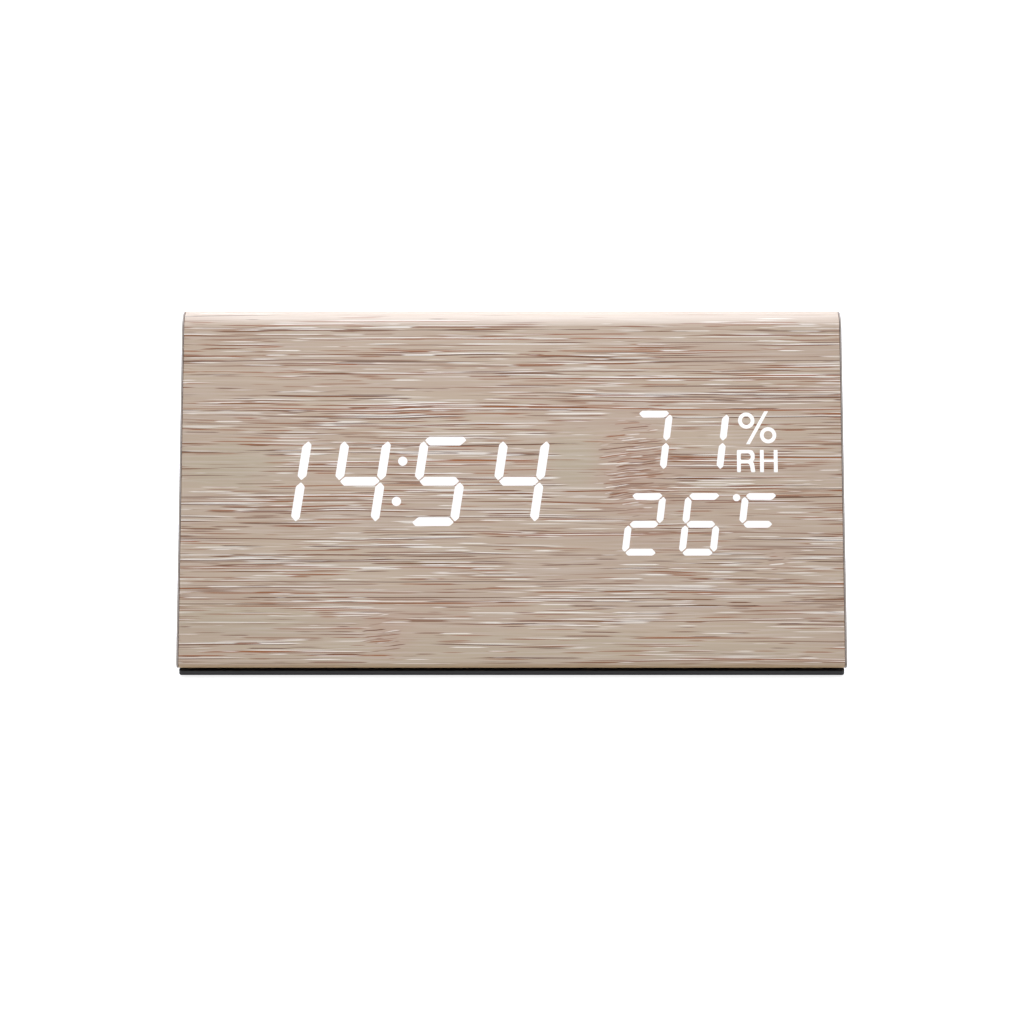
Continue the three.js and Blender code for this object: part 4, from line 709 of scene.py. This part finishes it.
def make_materials():
    """Every finish, by the record's slot name."""
    return {
        "bamboo_veneer": bamboo(),
        "veneer_edge": open_wood("Bamboo veneer, cut edge", "#a59a90", 0.7, 0.5, 2.0, "#988c81", "#b3a89e"),
        "fibreboard": open_wood("Fibreboard, sawn", "#b08d63", 0.9, 0.6, 4.0, "#9c7a52", "#c4a279"),
        "black_plastic": moulded("ABS, moulded black", "#181616", 0.5, 0.35, 0.02, 0.3),
        "button_rubber": moulded("Silicone rubber, moulded", "#191919", 0.7, 0.25, 0.015),
        "foot_rubber": moulded("Rubber foot, moulded", "#17171a", 0.85, 0.3, 0.02),
        "segment_light": moulded("Acrylic light guide, frosted", "#f1f1ee", 0.35, 0.4, 0.01),
        "lit_patch": lit_patch(),
        "circuit_white": circuit("Circuit board, white mask", "#e9ebe8", "#d5d8d5"),
        "circuit_green": circuit("Circuit board, green mask", "#1f6b3f", "#2d8350"),
        "chip_black": moulded("Epoxy package, moulded", "#202022", 0.55, 0.3, 0.01),
        "bright_metal": metal("Nickel plated steel", "#c9cbcc", 0.28),
        "screw_steel": metal("Zinc plated steel", "#9a9da1", 0.36),
        "cell_jacket": jacket(),
        "lead_red": moulded("PVC insulation, red", "#b3241c", 0.45, 0.5, 0.01),
        "lead_black": moulded("PVC insulation, black", "#232323", 0.45, 0.5, 0.01),
        "ribbon_grey": moulded("PVC ribbon, grey", "#a9abad", 0.5, 0.5, 0.01),
    }


FINISHES = {}


def finish_of(name):
    """The material for a slot. All are made on the first use."""
    if not FINISHES:
        FINISHES.update(make_materials())
    return FINISHES[name]


# Settings

def length_setting(name, description, millimetres):
    """A length that a user would change."""
    return FloatProperty(name=name, description=description, default=millimetres * MM, unit="LENGTH")


def colour_setting(name, description, hex_colour):
    """A colour that a user would change, as linear values."""
    return FloatVectorProperty(name=name, description=description, default=linear(hex_colour), size=4,
                               subtype="COLOR")


class ClockSizes(bpy.types.PropertyGroup):
    """Sizes of the finished pieces."""

    veneer: length_setting("Veneer", "Thickness of the bamboo sheet", 0.6)
    easing: length_setting("Edge easing", "Rounding of sanded wood edges", 0.12)
    mitre: length_setting("Mitre gap", "Wood between neighbouring bars of a digit", 0.29)
    bar_corner: length_setting("Bar corner", "Rounding of a bar's corners", 0.28)
    plastic_edge: length_setting("Plastic edge", "Rounding of moulded edges", 0.25)


class ClockColours(bpy.types.PropertyGroup):
    """Colours of the wood."""

    wood: colour_setting("Wood", "Ground of the veneer", "#c0a991")
    wood_grey: colour_setting("Grey wood", "Greyer bands in the ground", "#baa18b")
    wood_calm: colour_setting("Calm wood", "Ground of the calm stretches", "#b5a68b")
    wood_node: colour_setting("Node wood", "Ground where the cane had a node", "#b6947f")
    wood_fold: colour_setting("Folded edge", "Tan of the folded lower edge", "#c2a27a")
    fibre_dark: colour_setting("Dark fibre", "Darkest fibres", "#582e12")
    fibre_red: colour_setting("Red fibre", "Reddish fibres", "#9a5a30")
    # Also the colour of the highlights painted on the ridge and beside the dark fibres
    fibre_pale: colour_setting("Pale fibre", "Palest fibres", "#f5ecdf")


# Pieces

class StageOperator(bpy.types.Operator):
    """Make the white floor, the lamps, the world and the camera"""

    bl_idname = "clock.stage"
    bl_label = "Stage, lamps and camera"

    def execute(self, context):
        scene = context.scene
        scene.view_settings.view_transform = "Standard"
        self.camera(scene)
        self.world(scene)
        self.floor()
        for name, values in LAMPS.items():
            self.lamp(name, *values)
        return {"FINISHED"}

    def camera(self, scene):
        """A camera at the photograph's distance, height and angle of view."""
        data = bpy.data.cameras.new("camera")
        data.sensor_fit = "HORIZONTAL"
        data.sensor_width = CAMERA_SENSOR
        data.lens = CAMERA_LENS
        camera = add_object("camera", data)
        rise = math.radians(CAMERA_ELEVATION)
        back = Vector((0, -math.cos(rise), math.sin(rise)))
        camera.location = (Vector(CAMERA_TARGET) + back * CAMERA_DISTANCE) * MM
        camera.rotation_euler = (-back).to_track_quat("-Z", "Y").to_euler()
        scene.camera = camera

    def seen_by(self, tree, *kinds):
        """One where the ray is of one of the kinds named, and nothing elsewhere."""
        rays = add(tree, "LightPath", output=None)
        seen = rays.outputs[kinds[0]]
        for kind in kinds[1:]:
            seen = add(tree, "Math", {0: seen, 1: rays.outputs[kind]}, operation="MAXIMUM")
        return seen

    def world(self, scene):
        """White where the camera, a reflection or clear plastic sees it, and dimmer as a light."""
        world = bpy.data.worlds.new("studio")
        world.use_nodes = True
        tree = world.node_tree
        tree.nodes.clear()
        seen = self.seen_by(tree, "Is Camera Ray", "Is Glossy Ray", "Is Transmission Ray")
        strength = add(tree, "MapRange", {"Value": seen, 3: WORLD_LIGHT, 4: 1.0})
        light = add(tree, "Background", {"Color": (1, 1, 1, 1), "Strength": strength})
        add(tree, "OutputWorld", {"Surface": light}, output=None)
        scene.world = world

    def floor(self):
        """A white floor that still darkens where the clock shades it."""
        corners = np.array([(-1, -1, 0), (1, -1, 0), (1, 1, 0), (-1, 1, 0)])
        mesh = bpy.data.meshes.new("floor")
        mesh.from_pydata(corners * FLOOR_REACH * MM, [], [(0, 1, 2, 3)])
        material, tree, shader = start_material("Paper, white", "#c8c8c8", 0.9)
        seen = self.seen_by(tree, "Is Camera Ray", "Is Glossy Ray")
        glow = add(tree, "Math", {0: seen, 1: FLOOR_GLOW}, operation="MULTIPLY")
        feed(shader, {"Emission Color": (1, 1, 1, 1), "Emission Strength": glow})
        floor = add_object("floor", mesh, material)

    def lamp(self, name, place, target, size, power, hex_colour):
        """A rectangular softbox, turned to its target."""
        data = bpy.data.lights.new(name, "AREA")
        data.shape = "RECTANGLE"
        data.size, data.size_y = size
        data.energy = power
        data.color = linear(hex_colour)[:3]
        lamp = add_object(name, data)
        lamp.location = place
        lamp.rotation_euler = (Vector(place) - Vector(target)).to_track_quat("Z", "Y").to_euler()


class CasingOperator(bpy.types.Operator):
    """Make the bamboo sheet that wraps the casing and the two end faces"""

    bl_idname = "clock.casing"
    bl_label = "Bamboo veneer"

    def execute(self, context):
        sizes = context.scene.clock_sizes
        self.wrap(sizes.veneer / MM, sizes.easing / MM)
        for side, name in ((-1, "end_veneer_left"), (1, "end_veneer_right")):
            self.end(side, name, sizes.easing / MM)
        return {"FINISHED"}

    def sheet_loop(self, inset, thickness):
        """One closed line round the sheet's section: the outside from front to rear, then back inside."""
        edge = CORNER_CENTRE[0] - WRAP_RETURN
        lines = []
        for half in (half_section(inset), half_section(thickness)):
            lines.append(with_mirror(np.concatenate([half, [[edge, half[-1][1]]]])))
        return np.concatenate([lines[0], lines[1][::-1]])

    def wrap(self, thickness, easing):
        """The sheet: its section carried across the clock, the outer edges eased in at both ends."""
        right = [(VENEER_HIGH[0] - easing * back, easing * inset) for back, inset in EASED_STEPS]
        left = [(-x, inset) for x, inset in right[::-1]]
        rings = carried(left + right, lambda inset: self.sheet_loop(inset, thickness))
        rows, columns = rings.shape[:2]
        faces = grid_faces(rows, columns)
        for start in (0, (rows - 1) * columns):
            faces += [[start + i, start + i + 1, start + columns - 2 - i, start + columns - 1 - i]
                      for i in range(columns // 2 - 1)]
        mesh = closed_mesh("bamboo_wrap", rings.reshape(-1, 3), faces)
        piece = add_object("bamboo_wrap", mesh, finish_of("bamboo_veneer"))
        self.cut_window(piece)
        places = vectors(piece.data.vertices, "co")
        across = across_grain(places[:, 1] / MM, places[:, 2] / MM)
        fold = np.clip((abs(across) - RIDGE_ARC - FACE_LENGTH - FOLD_START) / FOLD_FADE, 0, 1)
        # The ridge's band, where a highlight is painted on the wood
        ridge = np.clip((RIDGE_ARC - RIDGE_START - abs(across)) / RIDGE_FADE, 0, 1)
        set_grain(piece.data, np.column_stack([places[:, 0], across * MM, (fold - ridge) * MM]))
        finish_piece(piece, "root", "bamboo_veneer", "veneer_wrap")

    def cut_window(self, piece):
        """Cuts the opening for the rear panel, a rounded rectangle round the panel's own size."""
        panel = [self.panel_outline(WINDOW_GAP, WINDOW_CORNER)]
        cutter = add_object("cutter", on_slope("cutter", panel, -CUTTER_REACH, CUTTER_REACH, rear=True))
        cutting = piece.modifiers.new("window", "BOOLEAN")
        cutting.object = cutter
        cutting.solver = "EXACT"
        graph = bpy.context.evaluated_depsgraph_get()
        whole, cut = piece.data, bpy.data.meshes.new_from_object(piece.evaluated_get(graph))
        piece.modifiers.clear()
        piece.data = cut
        cut.name = whole.name
        # The cutter goes with its mesh
        for mesh in (cutter.data, whole):
            bpy.data.meshes.remove(mesh)
        shade(cut, FORM_SHARP)

    def panel_outline(self, grow, corner):
        """The rear panel's face as an outline on the rear slope: four arcs round its own corners."""
        places = node_on_face("rear_panel", rear=True)
        face = places[places[:, 2] > places[:, 2].max() - 0.01]
        x0, y0 = face[:, :2].min(axis=0) - grow + corner
        x1, y1 = face[:, :2].max(axis=0) + grow - corner
        return np.concatenate([arc(centre, corner, math.pi / 2 * (i - 1), math.pi / 2 * i, 8)
                               for i, centre in enumerate(((x1, y0), (x1, y1), (x0, y1), (x0, y0)))])

    def end(self, side, name, easing):
        """An end face: the whole section as a thin plate, its outer edge eased."""
        low, high = node_box(name)
        inner, outer = (high[0], low[0]) if side < 0 else (low[0], high[0])
        edge = [(outer - side * easing * back, easing * inset) for back, inset in EASED_STEPS]
        rings = carried([(inner, 0.0)] + edge, lambda inset: with_mirror(half_section(inset)))
        mesh = closed_mesh("bamboo_" + name, *ringed(rings))
        places = vectors(mesh.vertices, "co")
        along, across, step = np.array(END_SHIFT) * MM
        set_grain(mesh, np.column_stack([
            places[:, 1] + side * along, places[:, 2] + across + side * step, np.zeros(len(places))]))
        rim = abs(vectors(mesh.polygons, "normal")[:, 0]) < 0.5
        add_piece("bamboo_" + name, mesh, "root", "bamboo_veneer", name,
                  finishes=("bamboo_veneer", "veneer_edge"))
        mesh.polygons.foreach_set("material_index", rim.astype(np.int32))


def bar_outline(style, place, bar, gap, corner):
    """One bar: a hexagon cut back from its mitre lines, its corners rounded, leant over with the digit."""
    middle, out, corner_ends = BAR_SHARES[bar]
    along_width = out[0] == 0
    length = style["width"] if along_width else style["height"] / 2
    half = length / 2 - gap / math.sqrt(2)
    side = style["bar"] / 2
    sign = out[0] + out[1]
    points = []
    for end, at_corner in zip((-1, 1), corner_ends):
        tip = TIP_SHARE * style["bar"] if at_corner else 0
        shoulders = [(half - side, -side), (half + tip, tip), (half + tip * 2 - side, side)]
        points += [(along * end, aside * sign) for along, aside in shoulders[::end]]
    along, aside = rounded_outline(points, corner).T
    x = middle[0] * style["width"] + (along if along_width else aside)
    y = middle[1] * style["height"] + (aside if along_width else along)
    return np.column_stack([place[0] + x + y * style["lean"], place[1] + y])


def mark_groups(gap, corner):
    """Every lit mark of the display as outlines on the face, by group."""
    def digits(text, style, first, pitch):
        """The lit bars of a row of digits."""
        return [bar_outline(style, (first[0] + pitch * i, first[1]), bar, gap, corner)
                for i, character in enumerate(text) for bar in LIT_BARS[character]]

    first = (TIME_PLACE[0] - TIME_PITCH * 3, TIME_PLACE[1])
    colon_x = TIME_PLACE[0] - TIME_PITCH * 1.5
    rise = TIME["height"] / 4
    colon = [circle_outline(colon_x + side * rise * TIME["lean"], TIME_PLACE[1] + side * rise, COLON_DIAMETER)
             for side in (-1, 1)]
    half = SLASH_WIDTH / 2
    slash = [(x + side * half, y) for (x, y), sides in zip(SLASH, ((-1, 1), (1, -1))) for side in sides]
    rings = [circle_outline(x, y, diameter) for x, y in RINGS for diameter in RING_DIAMETERS]
    letters = [rounded_outline(np.add(points, start), rounding) for start, rounding, points in LETTERS]
    return {
        "lit_time": digits("1454", TIME, first, TIME_PITCH) + colon,
        "lit_humidity": digits("71", SMALL, HUMIDITY_PLACE, SMALL_PITCH),
        "lit_temperature": digits("26C", SMALL, TEMPERATURE_PLACE, SMALL_PITCH) + [circle_outline(*DEGREE)],
        "lit_units": rings + [rounded_outline(slash, SHARP_ROUNDING)] + letters,
    }


class DisplayOperator(bpy.types.Operator):
    """Make the lit marks on the face and the light guide behind them"""

    bl_idname = "clock.display"
    bl_label = "Lit display"

    def execute(self, context):
        sizes = context.scene.clock_sizes
        groups = mark_groups(sizes.mitre / MM, sizes.bar_corner / MM)
        for name, outlines in groups.items():
            add_piece(name, on_slope(name, outlines, *LIT_LEVELS), "root", "segment_light",
                      finishes=("lit_patch",))
        self.guide([outline for outlines in groups.values() for outline in outlines])
        return {"FINISHED"}

    def guide(self, outlines):
        """The clear sheet at the back of the guide's node, and on it a bar behind every lit mark."""
        back = node_on_face("light_guide")[:, 2].min()
        everything = np.concatenate(outlines)
        x0, y0 = everything.min(axis=0) - GUIDE_MARGIN
        x1, y1 = everything.max(axis=0) + GUIDE_MARGIN
        edge = rounded_outline([(x0, y0), (x1, y0), (x1, y1), (x0, y1)], GUIDE_CORNER)
        front = back + GUIDE_SHEET
        sheet = on_slope("light_guide_sheet", [edge], back, front)
        add_piece("light_guide_sheet", sheet, "root", "segment_light", "light_guide")
        bars = on_slope("light_guide_bars", outlines, front, GUIDE_END)
        add_piece("light_guide_bars", bars, "root", "segment_light")


class BaseOperator(bpy.types.Operator):
    """Make the base, its battery door, the feet and the base screws"""

    bl_idname = "clock.base"
    bl_label = "Base, battery door, feet and screws"

    def execute(self, context):
        edge = context.scene.clock_sizes.plastic_edge / MM
        add_eased("base_moulding", "base_plate", "root", "black_plastic", edge)
        add_eased("door_moulding", "battery_door", "door", "black_plastic", edge)
        for place in ("front_left", "front_right", "rear_left", "rear_right"):
            self.foot("foot_" + place)
            self.screw("base_screw_" + place)
        return {"FINISHED"}

    def foot(self, node_name):
        """A round pad: a turned profile with a rounded lower rim and a shallow dish in its sole."""
        low, high = node_box(node_name)
        radius = (high[1] - low[1]) / 2
        inner, outer = (radius * share for share in FOOT_SHARES)
        rim = arc((radius - FOOT_RIM, FOOT_RIM), FOOT_RIM, -math.pi / 2, 0, 6)
        profile = np.concatenate([[(AXIS, FOOT_DISH), (inner, FOOT_DISH), (outer, 0.0)], rim,
                                  [(radius, high[2]), (AXIS, high[2])]])
        rings = turned(profile, 64) + [*(low + high)[:2] / 2, 0]
        add_ringed(node_name, "_pad", rings, "root", "foot_rubber")

    def screw(self, node_name):
        """A countersunk screw that points up, with a cross in its head.

        The head's face dips where either coordinate is near the middle: a smooth step across an arm times a
        smooth step along it, which fades at the arm's end.
        """
        low, high = node_box(node_name)
        bottom, top = low[2], high[2]
        head, shank, sides = SCREW["head"], SCREW["shank"], 96
        angle = np.linspace(0, 2 * math.pi, sides, endpoint=False)
        radius = [AXIS, *np.linspace(0.08, 1.7, 22), head * 0.8, head - 0.08, head]
        radius = np.array(radius)[:, None]
        x, y = radius * np.cos(angle), radius * np.sin(angle)
        near, far = np.minimum(abs(x), abs(y)), np.maximum(abs(x), abs(y))
        arm = (np.clip((CROSS["half"] - near) / CROSS["side"], 0, 1)
               * np.clip((CROSS["reach"] - far) / CROSS["end"], 0, 1))
        face = bottom + CROSS["depth"] * arm + np.where(radius > head - 0.01, 0.06, 0.0)
        profile = [(head - 0.05, bottom + 0.12), (shank, bottom + SCREW["countersink"]), (shank, top - shank),
                   (AXIS, top)]
        rings = np.concatenate([np.stack([x, y, face], axis=-1), turned(profile, sides)])
        add_ringed(node_name, "_turned", rings + [*(low + high)[:2] / 2, 0], "root", "screw_steel")


class RearOperator(bpy.types.Operator):
    """Make the rear panel, the three buttons and the socket"""

    bl_idname = "clock.rear"
    bl_label = "Rear panel and buttons"

    def execute(self, context):
        edge = context.scene.clock_sizes.plastic_edge / MM
        add_eased("rear_panel_moulding", "rear_panel", "root", "black_plastic", edge * PANEL_EDGE_SHARE,
                  PANEL_SHORTEST)
        add_eased("usb_socket_shell", "usb_socket", "root", "bright_metal", SOCKET_EDGE, SOCKET_SHORTEST)
        for name in ("set", "up", "down"):
            self.cap(name)
        return {"FINISHED"}

    def cap(self, name):
        """A push button: a turned profile with a rounded rim, a shallow finger dish and a rear flange."""
        node_name = "button_" + name
        low, high = (corner(node_on_face(node_name, rear=True), axis=0) for corner in (np.min, np.max))
        back, top = low[2], high[2]
        step = back + FLANGE_SHEET
        inside = BUTTON_RADIUS - BUTTON_RIM
        rim = arc((inside, top - BUTTON_RIM), BUTTON_RIM, 0, math.pi / 2, 8)
        dish = [(radius, top - BUTTON_DISH * (1 - (radius / inside) ** 2))
                for radius in np.linspace(inside - 0.1, AXIS, 9)]
        profile = np.concatenate([
            [(AXIS, back), (FLANGE_RADIUS - 0.1, back), (FLANGE_RADIUS, back + 0.1),
             (FLANGE_RADIUS, step - 0.1), (FLANGE_RADIUS - 0.1, step), (BUTTON_RADIUS, step)], rim, dish])
        rings = turned(profile, 64) + [*(low + high)[:2] / 2, 0]
        rings = on_face(rings.reshape(-1, 3), rear=True).reshape(rings.shape)
        add_ringed(node_name, "_cap", rings, name + "_button", "button_rubber")


class BatteryOperator(bpy.types.Operator):
    """Make the battery cells and their sprung contacts"""

    bl_idname = "clock.batteries"
    bl_label = "Cells and contacts"

    def execute(self, context):
        for i in (1, 2, 3):
            self.cell("battery_cell_" + str(i), 1 if i % 2 else -1)
        self.contact("negative_contact", -1, ((1, "spring"),), True)
        self.contact("bridge_contact_left", -1, ((2, "dome"), (3, "spring")), False)
        self.contact("bridge_contact_right", 1, ((1, "dome"), (2, "spring")), False)
        self.contact("positive_contact", 1, ((3, "dome"),), True)
        return {"FINISHED"}

    def contact(self, node_name, side, ends, terminal):
        """A sprung contact: a thin plate with a cone spring or a pressed dome for each cell, and its tab."""
        low, high = node_box(node_name)
        outer = high[0] if side > 0 else -low[0]
        centres = {i: sum(node_box("battery_cell_" + str(i))) / 2 for i, _ in ends}
        _, y, z = centres[ends[0][0]]
        bottom, top = z - CONTACT_HEIGHT / 2, z + CONTACT_HEIGHT / 2
        outline = [(low[1], bottom), (high[1], bottom), (high[1], top)]
        if terminal:
            half = CONTACT_TAB / 2
            outline += [(y + half, top), (y + half, high[2]), (y - half, high[2]), (y - half, top)]
        outline.append((low[1], top))
        plate, places = flat_shapes(node_name, [rounded_outline(outline, 0.5)], 0.0, CONTACT_SHEET)
        points = [places[:, [2, 0, 1]]]
        faces = [tuple(polygon.vertices) for polygon in plate.polygons]
        bpy.data.meshes.remove(plate)
        for i, form in ends:
            rings = self.spring() if form == "spring" else self.dome()
            start = sum(len(part) for part in points)
            more, quads = ringed(rings + [0, *centres[i][1:]])
            points.append(more)
            faces += [tuple(np.array(quad) + start) for quad in quads]
        points = np.concatenate(points)
        points[:, 0] = side * (outer - points[:, 0])
        add_piece(node_name + "_sheet", closed_mesh(node_name, points, faces), "root", "bright_metal",
                  node_name)

    def spring(self):
        """A tube along a cone-shaped helix: its turns shrink as it leaves the plate, the last one level."""
        share = np.linspace(0, 1, 121)[:, None]
        turn = share * SPRING["turns"] * 2 * math.pi
        wire = SPRING["wire"] / 2
        radius = SPRING["root"] / 2 + (SPRING["tip"] - SPRING["root"]) / 2 * share - wire
        rise = CONTACT_SHEET + (SPRING["reach"] - wire) * np.minimum(share / SPRING["rising"], 1)
        round_wire = np.linspace(0, 2 * math.pi, 12, endpoint=False)[None]
        reach = radius + wire * np.cos(round_wire)
        depth = rise + wire * np.sin(round_wire)
        return np.stack([depth, reach * np.cos(turn), reach * np.sin(turn)], axis=-1)

    def dome(self):
        """A turned bump pressed out of the plate, with a rounded rim and a flat tip."""
        rim = arc((1.5, DOME_REACH - 0.4), 0.4, 0, math.pi / 2, 8)
        profile = np.concatenate([[(AXIS, 0.0), (2.3, 0.0), (2.3, CONTACT_SHEET), (2.05, 0.8)], rim,
                                  [(AXIS, DOME_REACH)]])
        return turned(profile, 48)[..., [2, 0, 1]]

    def cell(self, node_name, side):
        """A round cell: a turned profile with crimped shoulders, a flat end and a raised nub."""
        low, high = node_box(node_name)
        length, radius, nub = high[0] - low[0], CELL_RADIUS, NUB_RADIUS
        body = length - NUB_LENGTH
        profile = [
            (AXIS, 0.0), (3.6, 0.0), (3.8, 0.25), (4.3, 0.25), (4.6, 0.0), (radius - 0.3, 0.02),
            (radius, 0.35), (radius, body - 0.35), (radius - 0.3, body - 0.02), (4.5, body),
            (4.2, body - 0.25), (2.6, body - 0.25), (nub + 0.1, body - 0.1), (nub, body),
            (nub, length - 0.15), (nub - 0.15, length), (AXIS, length)]
        x, y, z = (low + high) / 2
        rings = turned(profile, 72)[..., [2, 0, 1]] * [side, side, 1] + [x - side * length / 2, y, z]
        mesh = closed_mesh(node_name, *ringed(rings))
        set_grain(mesh, (vectors(mesh.vertices, "co") - [x * MM, 0, 0]) * [side, 1, 1])
        metal_end = abs(vectors(mesh.polygons, "center")[:, 0] / MM - x) > length / 2 - BARE_END
        add_piece(node_name + "_can", mesh, "root", "cell_jacket", node_name,
                  finishes=("cell_jacket", "bright_metal"))
        mesh.polygons.foreach_set("material_index", metal_end.astype(np.int32))


class FinishOperator(bpy.types.Operator):
    """Give every construction part that still shows the finish of its slot"""

    bl_idname = "clock.finish_parts"
    bl_label = "Finish the inner parts"

    def execute(self, context):
        slots = {part["node"]: part["material_slot"] for part in frame["record"]["subparts"]}
        for name, part in frame["nodes"].items():
            part.data.materials.clear()
            part.data.materials.append(finish_of(slots[name]))
        return {"FINISHED"}


class ClockPanel(bpy.types.Panel):
    """The clock's settings and the operators that make it"""

    bl_idname = "VIEW3D_PT_clock"
    bl_label = "Wooden alarm clock"
    bl_space_type = "VIEW_3D"
    bl_region_type = "UI"
    bl_category = "Clock"

    def draw(self, context):
        for settings in (context.scene.clock_sizes, context.scene.clock_colours):
            column = self.layout.column()
            for name in settings.__annotations__:
                column.prop(settings, name)
        for operator in OPERATORS:
            self.layout.operator(operator.bl_idname)


OPERATORS = (StageOperator, CasingOperator, DisplayOperator, BaseOperator, RearOperator, BatteryOperator,
             FinishOperator)
CLASSES = (ClockSizes, ClockColours, *OPERATORS, ClockPanel)


def register():
    for cls in CLASSES:
        bpy.utils.register_class(cls)
    bpy.types.Scene.clock_sizes = PointerProperty(type=ClockSizes)
    bpy.types.Scene.clock_colours = PointerProperty(type=ClockColours)


def unregister():
    del bpy.types.Scene.clock_colours
    del bpy.types.Scene.clock_sizes
    for cls in reversed(CLASSES):
        bpy.utils.unregister_class(cls)


def main():
    register()
    bpy.ops.clock.stage()
    bpy.ops.clock.casing()
    bpy.ops.clock.display()
    bpy.ops.clock.base()
    bpy.ops.clock.rear()
    bpy.ops.clock.batteries()
    bpy.ops.clock.finish_parts()


if __name__ == "__main__":
    main()
